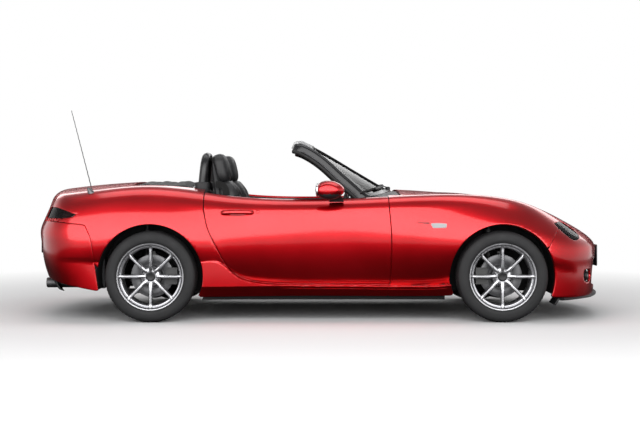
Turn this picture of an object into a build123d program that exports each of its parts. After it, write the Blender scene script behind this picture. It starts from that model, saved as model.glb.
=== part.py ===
from build123d import *
from collections import namedtuple
from math import cos, hypot, radians, sin
import os

# Two-seat open roadster, millimetres. +X is forward, +Y is the car's left, +Z is up.
# The origin lies on the floor, midway along the length and the width.

# ---- driving sizes -------------------------------------------------------
wheelbase = 2310
front_axle_x = 1198
rear_axle_x = front_axle_x - wheelbase
track = 1500
wheel_y = track / 2

tyre_radius = 300
tyre_width = 195
rim_flange_radius = 220
bead_radius = 203
rim_width = 174
barrel_radius = 187          # inside of the rim barrel
spoke_count = 8
bolt_circle = 100
bolt_count = 4
hub_flange_radius = 68
rim_face_offset = 18         # mounting face, outboard of the wheel's middle plane
spindle_radius = 20
disc_radius = 140
disc_thickness = 22
disc_y = 704                 # inner face of the brake discs
fit_gap = 0.3                # between curved pieces that seat on each other
running_gap = 0.05           # radial, pin or shaft in its bore
clear_gap = 6                # between moving pieces
seam = 3                     # between fixed panels

skin = 22                    # thickness of a body panel
arch_radius = 350            # wheel arch opening
liner_radius = 356           # wheel house inside the body
liner_y = 490                # inner wall of the wheel house
bay_y = 470                  # half width of the engine bay and the boot
nose_x = 1945
tail_x = -1957
floor_bottom = 145
floor_top = 190
core_front_bottom = 180      # underside of the body ahead of the doors and behind them

# ---- body sections -------------------------------------------------------
Section = namedtuple(
    "Section", "x z_bottom y_bottom z_low y_low z_wide y_wide z_crest y_crest z_middle")
sections = [Section(*row) for row in [
    # x, bottom edge z y, lower side z y, widest z y, shoulder z y, centreline z
    (-1962, 285, 815, 420, 825, 590, 815, 808, 640, 838),
    (-1850, 275, 818, 420, 828, 600, 818, 822, 670, 862),
    (-1700, 250, 825, 420, 832, 620, 825, 836, 700, 885),
    (-1540, 222, 840, 410, 845, 630, 842, 858, 725, 903),
    (-1330, 190, 850, 400, 858, 650, 860, 884, 742, 922),
    (-1112, 170, 855, 400, 862, 660, 867, 892, 746, 928),
    (-900, 168, 852, 370, 838, 640, 855, 874, 744, 926),
    (-700, 168, 850, 330, 808, 620, 834, 842, 744, 905),
    (-420, 170, 842, 320, 784, 600, 815, 813, 750, 870),
    (0, 172, 838, 310, 778, 590, 808, 806, 752, 845),
    (300, 172, 838, 315, 780, 595, 811, 815, 752, 862),
    (560, 172, 840, 330, 790, 605, 822, 830, 750, 864),
    (820, 172, 846, 360, 818, 630, 840, 838, 744, 846),
    (1040, 180, 850, 390, 842, 640, 854, 836, 740, 831),
    (1198, 188, 852, 400, 850, 640, 858, 820, 734, 815),
    (1330, 182, 846, 390, 848, 610, 850, 790, 718, 793),
    (1450, 175, 832, 380, 838, 560, 834, 748, 690, 764),
    (1580, 163, 815, 360, 820, 520, 808, 682, 650, 720),
    (1700, 160, 790, 340, 795, 480, 770, 615, 606, 662),
    (1820, 160, 740, 330, 740, 450, 710, 556, 540, 592),
    (1962, 160, 660, 320, 660, 420, 630, 486, 440, 490),
]]
shoulder_out = 42            # where the side turns into the shoulder
shoulder_drop = 48
shoulder_in = 35

# Plan outline of nose and tail, and the nose and tail profiles on the centreline.
nose_corner = (1725, 690)
nose_arc_mid = (1893, 350)
cheek_mid = (1590, 800)
cheek_end = (1400, 890)
haunch_end = (-1500, 890)
tail_cheek_mid = (-1735, 800)
tail_corner = (-1850, 660)
tail_arc_mid = (-1931, 350)
front_profile = [(nose_x, 1000), (nose_x, 478), (nose_x - 6, 345), (nose_x - 21, 335), (nose_x - 32, 172),
                 (nose_x - 60, 100)]
rear_profile = [(tail_x + 72, 100), (tail_x + 32, 330), (tail_x + 4, 520), (tail_x, 590), (tail_x + 32, 665),
                (tail_x + 105, 836), (tail_x + 105, 1000)]

# ---- panel lines ---------------------------------------------------------
door_front_x = 455
door_rear_x = -768
door_bottom_z = 250
door_inner_y = 680           # inner face of the door
flange_y = 785               # inner face of the door's outer flange
door_flange_lap = 20         # flange beyond the door's thick part
door_front_gap = 12          # the front edge swings a little forward as the door opens
door_front_bulge = 15        # the front edge bows forward by this much at mid height
door_jamb_gap = 12           # so does the inner rear corner, backward
hinge_reach = 100            # hinge pin behind the door's front edge
hinge_x = door_front_x - hinge_reach
hinge_y = 790
hinge_heights = (470, 680)
hinge_pin_radius = 6
hinge_leaf_height = 22
door_post_y = 676            # outer face of the body behind the hinge well
post_front_x = 300           # the post that carries the windscreen pillar starts here
post_inner_y = 600
post_outer_y = 672

bonnet_rear_x = 540
bonnet_front_x = 1835
bonnet_half_rear = 640
bonnet_half_front = 520
bonnet_front_gap = 9         # the front edge moves forward at first as the bonnet lifts
bonnet_axis_x = bonnet_rear_x - 16
bonnet_axis_z = 834
bonnet_hinge_y = 560
bonnet_eye_radius = 9
cowl_front_x = bonnet_rear_x - 20
cowl_rear_x = door_front_x - 3
cowl_inset = 12              # the cowl panel lies this much below the bonnet's surface

lid_front_x = -1275
lid_half = 535
bumper_top_z = 655            # upper edge of the rear bumper
lid_bottom_z = bumper_top_z + clear_gap
lid_axis_x = lid_front_x + 15
lid_axis_z = 905
lid_hinge_y = 250
boot_wall_thickness = 48     # cross wall between the boot and the well of the soft top
socket_radius = 8            # threaded tie-down sockets in the underside
socket_depth = 40
socket_places = ((1640, 590), (-1650, 680))

hood_rear_x = -1244          # folded soft top, between the boot lid and the seats
hood_front_x = -850
hood_half = 600
hood_floor = 690
bumper_front_x = 1500        # front bumper's rear edge above the wheel arch
bumper_rear_x = -1540
cabin_front_x = 440
lip_line = 160               # lower edge of the front bumper
grille_depth = 12
diffuser_half = 600
muffler_top = 400
pipe_radius = 25
pipe_z = 225
pipe_y = -200                # behind the rear axle
tip_z = 236
tip_radius = 32
tip_ys = (-430, -510)
cabin_rear_x = -690
cabin_y = 660
tunnel_half = 130
tunnel_top = 400

# ---- helpers -------------------------------------------------------------
parts = {}


def box(x0, x1, y0, y1, z0, z1):
    return Pos((x0 + x1) / 2, (y0 + y1) / 2, (z0 + z1) / 2) * Box(x1 - x0, y1 - y0, z1 - z0)


def cyl_y(x, z, r, y0, y1):
    return Pos(x, (y0 + y1) / 2, z) * Rot(90, 0, 0) * Cylinder(r, abs(y1 - y0))


def cyl_x(x0, x1, y, z, r):
    return Pos((x0 + x1) / 2, y, z) * Rot(0, 90, 0) * Cylinder(r, x1 - x0)


def cyl_z(x, y, r, z0, z1):
    return Pos(x, y, (z0 + z1) / 2) * Cylinder(r, z1 - z0)


def rod(start, end, r):
    """A round bar between two points."""
    a, b = Vector(*start), Vector(*end)
    return Solid.make_cylinder(r, (b - a).length, Plane(origin=a, z_dir=b - a))


def side_prism(points, y0, y1):
    """Extrudes a closed (x, z) outline across the car."""
    wire = Wire.make_polygon([Vector(x, y0, z) for x, z in points], close=True)
    return Solid.extrude(Face(wire), Vector(0, y1 - y0, 0))


def plan_prism(points, z0, z1):
    """Extrudes a closed (x, y) outline upwards."""
    wire = Wire.make_polygon([Vector(x, y, z0) for x, y in points], close=True)
    return Solid.extrude(Face(wire), Vector(0, 0, z1 - z0))


def grown(points, amount):
    """Moves every edge of a closed outline outwards by the amount."""
    pairs = list(zip(points, points[1:] + points[:1]))
    turn = 1 if sum(a[0] * b[1] - b[0] * a[1] for a, b in pairs) > 0 else -1
    lines = []
    for (ax, az), (bx, bz) in pairs:
        length = hypot(bx - ax, bz - az)
        nx, nz = turn * (bz - az) / length, turn * (ax - bx) / length
        lines.append((nx, nz, nx * ax + nz * az + amount))
    corners = []
    for (a, b, c), (d, e, f) in zip(lines[-1:] + lines[:-1], lines):
        spread = a * e - b * d
        corners.append(((c * e - b * f) / spread, (a * f - c * d) / spread))
    return corners


def mirrored(shape):
    return shape.mirror(Plane.XZ)


def both_sides(shape):
    return shape + mirrored(shape)


def y_span(side, near, far):
    """The two y limits, in rising order, of a piece between two distances from the middle."""
    return sorted((side * near, side * far))


def keep(name, shape):
    parts[name] = shape


# ---- body envelope -------------------------------------------------------
def section_face(s, inset, drop):
    """Closed outline of one body section: floor line, sill, side arc, shoulder arc and crown."""
    points = {
        "bottom": (s.y_bottom - inset, s.z_bottom - drop),
        "low": (s.y_low - inset, s.z_low),
        "wide": (s.y_wide - inset, s.z_wide),
        "side_end": (s.y_crest + shoulder_out - inset, s.z_crest - shoulder_drop - inset),
        "shoulder": (s.y_crest + shoulder_out / 3 - 0.8 * inset, s.z_crest - shoulder_drop / 3.4 - 0.8 * inset),
        "crown_end": (s.y_crest - shoulder_in, s.z_crest + 1 - inset),
    }
    right = {k: Vector(s.x, y, z) for k, (y, z) in points.items()}
    left = {k: Vector(s.x, -y, z) for k, (y, z) in points.items()}
    middle = Vector(s.x, 0, s.z_middle - inset)
    edges = [
        Edge.make_line(left["bottom"], right["bottom"]),
        Edge.make_line(right["bottom"], right["low"]),
        Edge.make_three_point_arc(right["low"], right["wide"], right["side_end"]),
        Edge.make_three_point_arc(right["side_end"], right["shoulder"], right["crown_end"]),
        Edge.make_three_point_arc(right["crown_end"], middle, left["crown_end"]),
        Edge.make_three_point_arc(left["crown_end"], left["shoulder"], left["side_end"]),
        Edge.make_three_point_arc(left["side_end"], left["wide"], left["low"]),
        Edge.make_line(left["low"], left["bottom"]),
    ]
    return Wire(edges)


def plan_outline(inset):
    """Rounded nose and tail seen from above, as one upright prism."""
    def at(point, side):
        return Vector(point[0] - (inset if point[0] > 0 else -inset), side * (point[1] - 0.6 * inset), 0)

    def half(side):
        return [
            Edge.make_three_point_arc(Vector(nose_x - inset, 0, 0), at(nose_arc_mid, side),
                                      at(nose_corner, side)),
            Edge.make_three_point_arc(at(nose_corner, side), at(cheek_mid, side), at(cheek_end, side)),
            Edge.make_line(at(cheek_end, side), at(haunch_end, side)),
            Edge.make_three_point_arc(at(haunch_end, side), at(tail_cheek_mid, side), at(tail_corner, side)),
            Edge.make_three_point_arc(at(tail_corner, side), at(tail_arc_mid, side),
                                      Vector(tail_x + inset, 0, 0)),
        ]
    wire = Wire(half(1) + half(-1))
    return Solid.extrude(Face(wire), Vector(0, 0, 1100))


def profile_prism(inset):
    """Nose and tail profiles seen from the side."""
    front = [(x - inset, z) for x, z in front_profile]
    rear = [(x + inset, z) for x, z in rear_profile]
    return side_prism(front + rear, -1000, 1000)


def envelope(inset, drop=0):
    """The body's outer volume, moved inwards by inset and downwards at the bottom edge by drop."""
    loft_solid = Solid.make_loft([section_face(s, inset, drop) for s in sections], True)
    return loft_solid & plan_outline(inset) & profile_prism(inset)


outer = envelope(0)
outer_grown = envelope(-fit_gap)
shell = outer - envelope(skin, drop=90)
for axle_x in (front_axle_x, rear_axle_x):
    shell -= cyl_y(axle_x, tyre_radius, arch_radius, -1000, 1000)


# ---- door outline --------------------------------------------------------
def door_prism(grow_front, grow_rear, grow_bottom, y0, y1):
    """The door's side outline, grown at its front, rear and bottom edges, extruded between two y planes."""
    front = door_front_x + grow_front
    rear = door_rear_x - grow_rear
    low = door_bottom_z - grow_bottom
    slant = 0.7 * grow_rear

    def at(x, z):
        return Vector(x, y0, z)
    top_z = 1000
    edges = [
        Edge.make_line(at(rear, top_z), at(front, top_z)),
        Edge.make_line(at(front, top_z), at(front, 757)),
        Edge.make_three_point_arc(at(front, 757), at(front + door_front_bulge, 500), at(front + 5, low)),
        Edge.make_line(at(front + 5, low), at(-100, low + 4)),
        Edge.make_three_point_arc(at(-100, low + 4), at(-430, low + 50), at(-626 - slant, 436 - slant)),
        Edge.make_three_point_arc(at(-626 - slant, 436 - slant), at(-732 - 0.9 * grow_rear, 610), at(rear, 757)),
        Edge.make_line(at(rear, 757), at(rear, top_z)),
    ]
    return Solid.extrude(Face(Wire(edges)), Vector(0, y1 - y0, 0))


def hinge_cut(z):
    """Room in the door for one body-side hinge leaf."""
    return box(hinge_x - 30, door_front_x + 30, door_inner_y - 20, hinge_y + 10,
               z - clear_gap, z + hinge_leaf_height + clear_gap)


def make_door():
    flange = outer & door_prism(0, 0, 0, flange_y, 1000)
    inner_front = hinge_x - 14 - door_front_x
    thick = outer & door_prism(inner_front, -door_flange_lap, -45, door_inner_y, flange_y)
    door = flange + thick
    for z in hinge_heights:
        door -= hinge_cut(z)
        door -= cyl_z(hinge_x, hinge_y, hinge_pin_radius + running_gap, z - 60, z + 60)
    return door


def hinge_leaf(z):
    """Body-side hinge leaf with its pin, which stands up into the door."""
    arm = box(hinge_x - 7, hinge_x + 7, post_inner_y + 30, hinge_y, z, z + hinge_leaf_height)
    eye = cyl_z(hinge_x, hinge_y, 7, z, z + hinge_leaf_height)
    pin = cyl_z(hinge_x, hinge_y, hinge_pin_radius, z - 24, z + hinge_leaf_height + 24)
    return arm + eye + pin


# ---- windscreen ----------------------------------------------------------
screen_base = (478, 866)     # x, z of the glass at the bottom centre
screen_top = (-104, 1186)    # x, z at the top centre
screen_curve = 2100          # radius of the glass across the car
screen_bow = 122             # the corners stand this much higher along the glass, at screen_bow_y
screen_bow_y = 650
glass_thickness = 6
glass_half_base = 612
glass_half_top = 488
pillar_width = 56
frame_depth = 44
frame_proud = 4              # the frame stands this much outside the glass
header_depth = 74
lower_rail = 38
screen_rise = screen_top[1] - screen_base[1]
screen_run = screen_top[0] - screen_base[0]
screen_length = hypot(screen_run, screen_rise)
# local axes: x across the car, y up the glass, z outwards through it
screen_plane = Plane(origin=(screen_base[0], 0, screen_base[1]), x_dir=(0, 1, 0),
                     z_dir=(screen_rise, 0, -screen_run))


def screen_layer(outside, inside):
    """Part of a wide tube lying along the screen, between two depths below the outer glass surface."""
    def tube(depth):
        return Pos(0, 0, -screen_curve) * Rot(90, 0, 0) * Cylinder(screen_curve - depth, 4 * screen_length)
    return tube(outside) - tube(inside)


def screen_sheet(widen, low, high):
    """The screen's outline, bowed at top and bottom, as a deep prism."""
    def corner(height, side):
        half = glass_half_base + (glass_half_top - glass_half_base) * height / screen_length + widen
        return (side * half, height + screen_bow * (half / screen_bow_y) ** 2)
    bottom = ThreePointArc(corner(low, -1), (0, low), corner(low, 1))
    top = ThreePointArc(corner(high, 1), (0, high), corner(high, -1))
    sides = [Line(corner(low, 1), corner(high, 1)), Line(corner(high, -1), corner(low, -1))]
    return extrude(make_face([bottom, sides[0], top, sides[1]]), 500, both=True)


screen_clearance = screen_plane * (screen_layer(-500, frame_depth + fit_gap)
                                   & screen_sheet(pillar_width + fit_gap, -lower_rail - fit_gap, screen_length))


def make_windscreen():
    """Curved glass in a ring of lower rail, pillars and header."""
    glass = screen_plane * (screen_layer(0, glass_thickness) & screen_sheet(0, 8, screen_length))
    ring = screen_sheet(pillar_width, -lower_rail, screen_length + header_depth)
    ring -= screen_sheet(fit_gap, 8 - fit_gap, screen_length + fit_gap)
    frame = screen_plane * (screen_layer(-frame_proud, frame_depth) & ring)
    keep("windscreen_glass", glass)
    keep("windscreen_frame", frame)


# ---- lamp regions --------------------------------------------------------
headlamp_outline = [(1540, 640), (1600, 740), (1800, 640), (1800, 560), (1775, 528), (1700, 528), (1620, 572)]
tail_lamp_outline = [(-1585, 705), (-1740, 770), (-1990, 772), (-1990, 660), (-1740, 655)]
repeater_outline = [(725, 652), (828, 648), (826, 622), (740, 618)]
headlamp_inner_y = 500
tail_lamp_inner_y = lid_half + clear_gap + seam
lamp_depth = 60
fog_lamp_y = 592
fog_lamp_z = 290
fog_lamp_radius = 36
repeater_depth = 10


def headlamp_region(amount):
    return side_prism(grown(headlamp_outline, amount), headlamp_inner_y - amount, 1000)


def tail_lamp_region(amount):
    return side_prism(grown(tail_lamp_outline, amount), tail_lamp_inner_y - amount, 1000)


def repeater_region(amount):
    return side_prism(grown(repeater_outline, amount), 700, 1000)


def fog_lamp_region(amount):
    return cyl_x(1600, 2000, fog_lamp_y, fog_lamp_z, fog_lamp_radius + amount)


# ---- panels --------------------------------------------------------------
bonnet_outline = [(bonnet_rear_x, -bonnet_half_rear), (bonnet_front_x - 120, -bonnet_half_front),
                  (bonnet_front_x, -300), (bonnet_front_x + 12, 0), (bonnet_front_x, 300),
                  (bonnet_front_x - 120, bonnet_half_front), (bonnet_rear_x, bonnet_half_rear)]
bonnet_region = plan_prism(bonnet_outline, 520, 1000)
bonnet_opening = (plan_prism(grown(bonnet_outline, clear_gap), 500, 1000)
                  + plan_prism(grown(bonnet_outline, bonnet_front_gap), 500, 1000)
                  & (box(bonnet_front_x - 119, 2000, -1000, 1000, 0, 1000)
                     + box(0, bonnet_front_x - 119, -bonnet_half_rear, bonnet_half_rear, 0, 1000)))
cowl_opening = box(cowl_rear_x, bonnet_rear_x, -bonnet_half_rear - seam, bonnet_half_rear + seam, 500, 1000)
lid_region = box(tail_x - 20, lid_front_x, -lid_half, lid_half, lid_bottom_z, 1000)
lid_opening = box(tail_x - 20, hood_rear_x, -lid_half - clear_gap, lid_half + clear_gap,
                  lid_bottom_z - clear_gap, 1000)
front_bumper_region = side_prism(
    [(bumper_front_x - 60, 60), (bumper_front_x - 30, 420), (1540, 560), (1600, 640), (1800, 1000), (2000, 1000),
     (2000, 60)],
    -1000, 1000)
rear_bumper_region = side_prism(
    [(bumper_rear_x + 120, 60), (bumper_rear_x + 40, 560), (bumper_rear_x, 640), (-1700, bumper_top_z),
     (-2000, bumper_top_z), (-2000, 60)], -1000, 1000)
front_bumper_gap = front_bumper_region.translate(Vector(-seam, 0, 0)) + front_bumper_region
rear_bumper_gap = rear_bumper_region.translate(Vector(seam, 0, seam)) + rear_bumper_region
cabin_opening = (box(cabin_rear_x - 20, cowl_rear_x + 1, -cabin_y - 60, cabin_y + 60, 500, 1000)
                 + box(hood_rear_x - 1, cabin_rear_x, -hood_half - seam, hood_half + seam, 500, 1000))
door_hole = door_prism(door_front_gap, clear_gap, clear_gap, 600, 1000)
intake = both_sides(box(1700, 2000, 0, 430, 205, 392) + box(1700, 2000, 429, 520, 225, 350))
small_lamps = both_sides(repeater_region(fit_gap)) + both_sides(fog_lamp_region(fit_gap))
lamps = both_sides(headlamp_region(seam)) + both_sides(tail_lamp_region(seam)) + small_lamps
lamp_pockets = both_sides(headlamp_region(fit_gap)) + both_sides(tail_lamp_region(fit_gap)) + small_lamps


def make_panels():
    fixed = shell - bonnet_opening - cowl_opening - lid_opening - cabin_opening - lamps
    fixed -= door_hole
    fixed -= mirrored(door_hole)
    front_bumper = fixed & front_bumper_region
    keep("front_bumper", front_bumper - intake)
    rear_bumper = fixed & rear_bumper_region
    keep("rear_bumper", rear_bumper)
    rest = fixed - front_bumper_gap - rear_bumper_gap
    front_half = rest & box(door_front_x, 2000, 0, 1000, 0, 1000)
    rear_half = rest & box(-2000, door_front_x - seam, 0, 1000, 0, 1000)
    keep("wing_left", front_half)
    keep("wing_right", mirrored(front_half))
    keep("side_left", rear_half)
    antenna_hole = cyl_z(antenna_x, -antenna_y, antenna_base_radius + fit_gap, 700, 1000)
    keep("side_right", mirrored(rear_half) - antenna_hole)


antenna_x = -1516
antenna_y = 700
antenna_base_radius = 12
antenna_lean = 14.5
antenna_length = 545


def make_antenna():
    base_z = 839
    top_z = 878
    stud = cyl_z(antenna_x, -antenna_y, antenna_base_radius, base_z, top_z)
    start = (antenna_x, -antenna_y, top_z - 8)
    end = (antenna_x - antenna_length * sin(radians(antenna_lean)), -antenna_y,
           top_z - 8 + antenna_length * cos(radians(antenna_lean)))
    keep("antenna", stud + rod(start, end, 3.5))


def make_lids():
    bonnet = (shell & bonnet_region) - lamps
    for side in (1, -1):
        y = side * bonnet_hinge_y
        ear = box(bonnet_axis_x, bonnet_rear_x + 60, y - 6, y + 6, bonnet_axis_z - bonnet_eye_radius,
                  bonnet_axis_z + 8)
        ear += cyl_y(bonnet_axis_x, bonnet_axis_z, bonnet_eye_radius, y - 6, y + 6)
        bonnet = bonnet + (ear & outer)
        bonnet -= cyl_y(bonnet_axis_x, bonnet_axis_z, 6 + running_gap, y - 30, y + 30)
    keep("bonnet", bonnet)
    lid = shell & lid_region
    for side in (1, -1):
        y = side * lid_hinge_y
        ear = box(lid_axis_x - 40, lid_axis_x, y - 6, y + 6, lid_axis_z - 9, lid_axis_z + 9)
        lid = lid + ear + cyl_y(lid_axis_x, lid_axis_z, 9, y - 6, y + 6)
        lid -= cyl_y(lid_axis_x, lid_axis_z, 6 + running_gap, y - 30, y + 30)
    keep("boot_lid", lid)


# ---- structure -----------------------------------------------------------
hinge_plate = (14, 26)       # body-side bracket of a lid hinge, measured outboard from the hinge's middle
front_bay_x = (620, 1620)
boot_front_x = hood_rear_x - boot_wall_thickness
boot_floor = 450
rear_bay_x = (rear_axle_x - 220, rear_axle_x + 240)
rear_bay_top = 420
rear_floor_top = (rear_bay_top + boot_floor) / 2
rack_x = front_axle_x + 115
rack_z = 240


def make_structure():
    """Floor, front and rear body, all inside the outer panels."""
    core = envelope(skin + fit_gap + 0.1, drop=90) & box(-1900, 1900, -1000, 1000, floor_bottom, 1000)
    # more room under the panels that open
    lids = bonnet_opening + (lid_opening & box(-2000, lid_front_x + 2, -1000, 1000, 0, 1000))
    core = (core - lids) + (envelope(skin + clear_gap, drop=90) & lids & core)
    # lowest parts of the body ends
    core -= box(820, 2000, -1000, 1000, 0, core_front_bottom)
    core -= box(-2000, -760, -1000, 1000, 0, core_front_bottom)
    for x in (front_axle_x, rear_axle_x):
        core -= both_sides(cyl_y(x, tyre_radius, liner_radius, liner_y, 1000))
    # cabin, footwells, tunnel
    core -= box(cabin_rear_x, post_front_x, -cabin_y, cabin_y, floor_top, 1000)
    core -= box(post_front_x - 1, cabin_front_x, -post_inner_y, post_inner_y, floor_top, 1000)
    core -= box(cabin_front_x - 1, 560, -post_inner_y, post_inner_y, floor_top, 600)
    core += box(cabin_rear_x - 10, 570, -tunnel_half, tunnel_half, floor_top - 10, tunnel_top)
    core -= box(-890, 640, -tunnel_half + 18, tunnel_half - 18, 0, tunnel_top - 30)
    # engine bay, openings of the steering rack, intake
    core -= box(front_bay_x[0], front_bay_x[1], -bay_y, bay_y, 0, 1000)
    core -= box(rack_x - 30, rack_x + 30, -liner_y - 1, liner_y + 1, rack_z - 30, rack_z + 30)
    core -= box(1600, 2000, -525, 525, 0, 420)
    # boot, rear axle, pipe and silencer
    core -= box(-1790, boot_front_x, -bay_y, bay_y, boot_floor, 1000)
    core -= box(-1870, -1780, -bay_y, bay_y, lid_bottom_z - 40, 1000)
    core -= box(rear_bay_x[0], rear_bay_x[1], -liner_y - 1, liner_y + 1, 0, rear_bay_top)
    core -= box(-1450, rear_bay_x[0] + 1, pipe_y - 60, pipe_y + 60, 0, 290)
    core -= box(-1900, -1440, -diffuser_half, diffuser_half, 0, muffler_top)
    # well for the folded soft top
    core -= box(hood_rear_x - fit_gap, cabin_rear_x - 60, -hood_half - fit_gap, hood_half + fit_gap,
                hood_floor, 1000)
    core -= box(cabin_rear_x - 61, cabin_rear_x, -cabin_y, cabin_y, 730, 1000)
    # doorways: room for the door's thick part, for its flange, and for the flange's front swinging inwards
    jamb = (door_prism(hinge_x - 4 - door_front_x, door_jamb_gap - door_flange_lap, clear_gap - 45,
                       cabin_y - 5, 1000)
            + door_prism(door_front_gap, clear_gap, clear_gap, flange_y - clear_gap, 1000)
            + box(hinge_x - 10, door_front_x + door_front_gap + door_front_bulge, door_post_y, 1000,
                  door_bottom_z - clear_gap, 1000))
    core -= jamb
    core -= mirrored(jamb)
    core -= lamp_pockets
    core -= screen_clearance
    for z in hinge_heights:
        leaf = hinge_leaf(z)
        core += leaf
        core += mirrored(leaf)
    # bonnet hinges: a pocket in the scuttle with a bracket and a pin on each side
    near, far = hinge_plate
    for side in (1, -1):
        y = side * bonnet_hinge_y
        ya, yb = sorted((y + side * near, y + side * far))
        core -= box(bonnet_axis_x - 16, bonnet_rear_x + 66, y - 16, y + 16, 780, 1000)
        core -= box(bonnet_axis_x - 16, bonnet_axis_x + 30, ya - 1, yb + 1, 780, 1000)
        core += box(bonnet_axis_x - 9, bonnet_axis_x + 9, ya, yb, 770, bonnet_axis_z)
        core += cyl_y(bonnet_axis_x, bonnet_axis_z, bonnet_eye_radius, ya, yb)
        core += cyl_y(bonnet_axis_x, bonnet_axis_z, 6, y - side * 10, y + side * far)
    # boot lid hinges: brackets and pins on the cross wall
    for side in (1, -1):
        y = side * lid_hinge_y
        ya, yb = sorted((y + side * near, y + side * far))
        core -= box(boot_front_x - 1, hood_rear_x + 1, min(y - side * 16, y + side * (far + 1)),
                    max(y - side * 16, y + side * (far + 1)), lid_axis_z - 60, 1000)
        core += box(lid_axis_x - 9, lid_axis_x + 9, ya, yb, lid_axis_z - 70, lid_axis_z)
        core += cyl_y(lid_axis_x, lid_axis_z, 9, ya, yb)
        core += cyl_y(lid_axis_x, lid_axis_z, 6, y - side * 10, y + side * far)
    core -= cyl_z(antenna_x, -antenna_y, antenna_base_radius + fit_gap, 837, 1000)
    for x, y in socket_places:
        core -= both_sides(cyl_z(x, y, socket_radius, core_front_bottom - 1, core_front_bottom + socket_depth))
    keep("front_body", core & box(bonnet_rear_x + 60, 2000, -1000, 1000, 0, 1100))
    keep("floor_pan", core & box(cabin_rear_x - 70, bonnet_rear_x + 60, -1000, 1000, 0, 1100))
    rear = core & box(-2000, cabin_rear_x - 70, -1000, 1000, 0, 1100)
    keep("rear_crossmember", rear & box(rear_axle_x, cabin_rear_x, -1000, 1000, 0, rear_bay_top))
    keep("rear_floor", rear & box(-2000, rear_axle_x, -1000, 1000, 0, rear_bay_top))
    keep("rear_shelf", rear & box(-2000, cabin_rear_x, -1000, 1000, rear_bay_top, rear_floor_top))
    keep("rear_body", rear & box(-2000, cabin_rear_x, -1000, 1000, rear_floor_top, 1100))


def make_cowl():
    """Plastic panel between the bonnet and the windscreen."""
    region = (box(post_front_x, cowl_front_x, -post_outer_y, post_outer_y, 700, 1000)
              & (cowl_opening & box(0, 2000, -bonnet_half_rear, bonnet_half_rear, 0, 1000)
                 + box(post_front_x, cowl_rear_x, -post_outer_y, post_outer_y, 500, 1000)))
    cowl = (envelope(cowl_inset) - envelope(skin)) & region
    cowl -= screen_clearance
    near, far = hinge_plate
    for side in (1, -1):
        y = side * bonnet_hinge_y
        cowl -= box(bonnet_axis_x - 16, bonnet_rear_x, min(y - side * 18, y + side * (far + 4)),
                    max(y - side * 18, y + side * (far + 4)), 700, 1000)
    keep("cowl", cowl)


# ---- cabin ---------------------------------------------------------------
steering_wheel_centre = (60, 360, 648)
steering_wheel_radius = 178
column_tilt = 22
dash_rear_x = 205


def make_cabin():
    dash = side_prism([(dash_rear_x, 600), (dash_rear_x + 45, 500), (cabin_front_x - fit_gap, 500),
                       (cabin_front_x - fit_gap, 842), (dash_rear_x + 120, 836), (dash_rear_x + 12, 780),
                       (dash_rear_x - 10, 700)], -cabin_y + fit_gap, cabin_y - fit_gap)
    dash -= both_sides(box(post_front_x - fit_gap, cabin_front_x, post_inner_y - fit_gap, 1000, 0, 1000))
    dash -= screen_clearance
    cx, cy, cz = steering_wheel_centre
    toward = Vector(-cos(radians(column_tilt)), 0, sin(radians(column_tilt)))
    centre = Vector(cx, cy, cz)
    shaft_end = centre - toward * 210
    dash -= rod(tuple(shaft_end), tuple(centre), 42)
    dash -= rod(tuple(shaft_end - toward * 60), tuple(centre), 16 + running_gap)
    keep("dashboard", dash)
    plane = Plane(origin=centre, z_dir=toward)
    ring = plane * Torus(steering_wheel_radius, 15)
    hub = plane * Pos(0, 0, -14) * Cylinder(52, 36)
    shaft = rod(tuple(shaft_end - toward * 55), tuple(centre), 16)
    wheel = ring + hub + shaft
    across = Plane(origin=centre, x_dir=(0, 1, 0), z_dir=toward)
    for angle in (0, 180, 270 if across.y_dir.Z > 0 else 90):
        wheel += across * (Rot(0, 0, angle) * Pos(steering_wheel_radius / 2 + 10, 0, -8)
                           * Box(steering_wheel_radius - 20, 28, 12))
    keep("steering_wheel", wheel)
    console = side_prism([(-600, tunnel_top), (-600, 520), (-420, 530), (-300, 470), (dash_rear_x - 20, 480),
                          (dash_rear_x + 43, 497), (dash_rear_x + 43, tunnel_top)], -100, 100)
    lever = cyl_z(-60, 0, 8, 465, 560) + Pos(-60, 0, 570) * Sphere(24)
    keep("console", console + lever)


seat_y = 372
seat_half = 235


def make_seats():
    for name, side in (("seat_left", 1), ("seat_right", -1)):
        profile = [(-40, floor_top), (-20, 300), (-40, 395), (-200, 385), (-470, 340), (-520, 420), (-610, 820),
                   (-640, 930), (-655, 1090), (-680, 1118), (-722, 1112), (-742, 1080), (-730, 900), (-672, 700),
                   (-600, 300), (-560, floor_top)]
        y0, y1 = side * seat_y - seat_half, side * seat_y + seat_half
        body = side_prism(profile, y0, y1)
        # the head restraint is narrower than the backrest
        for edge in (-1, 1):
            y = side * seat_y + edge * (seat_half + 60)
            body -= box(-800, -560, y - 150, y + 150, 935, 1200)
        keep(name, body & box(-676 - 80, 0, -cabin_y + 5, cabin_y - 5, floor_top, 1200))


hoop_x = -802
hoop_half = 150
hoop_top = 1124
hoop_radius = 28


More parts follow.
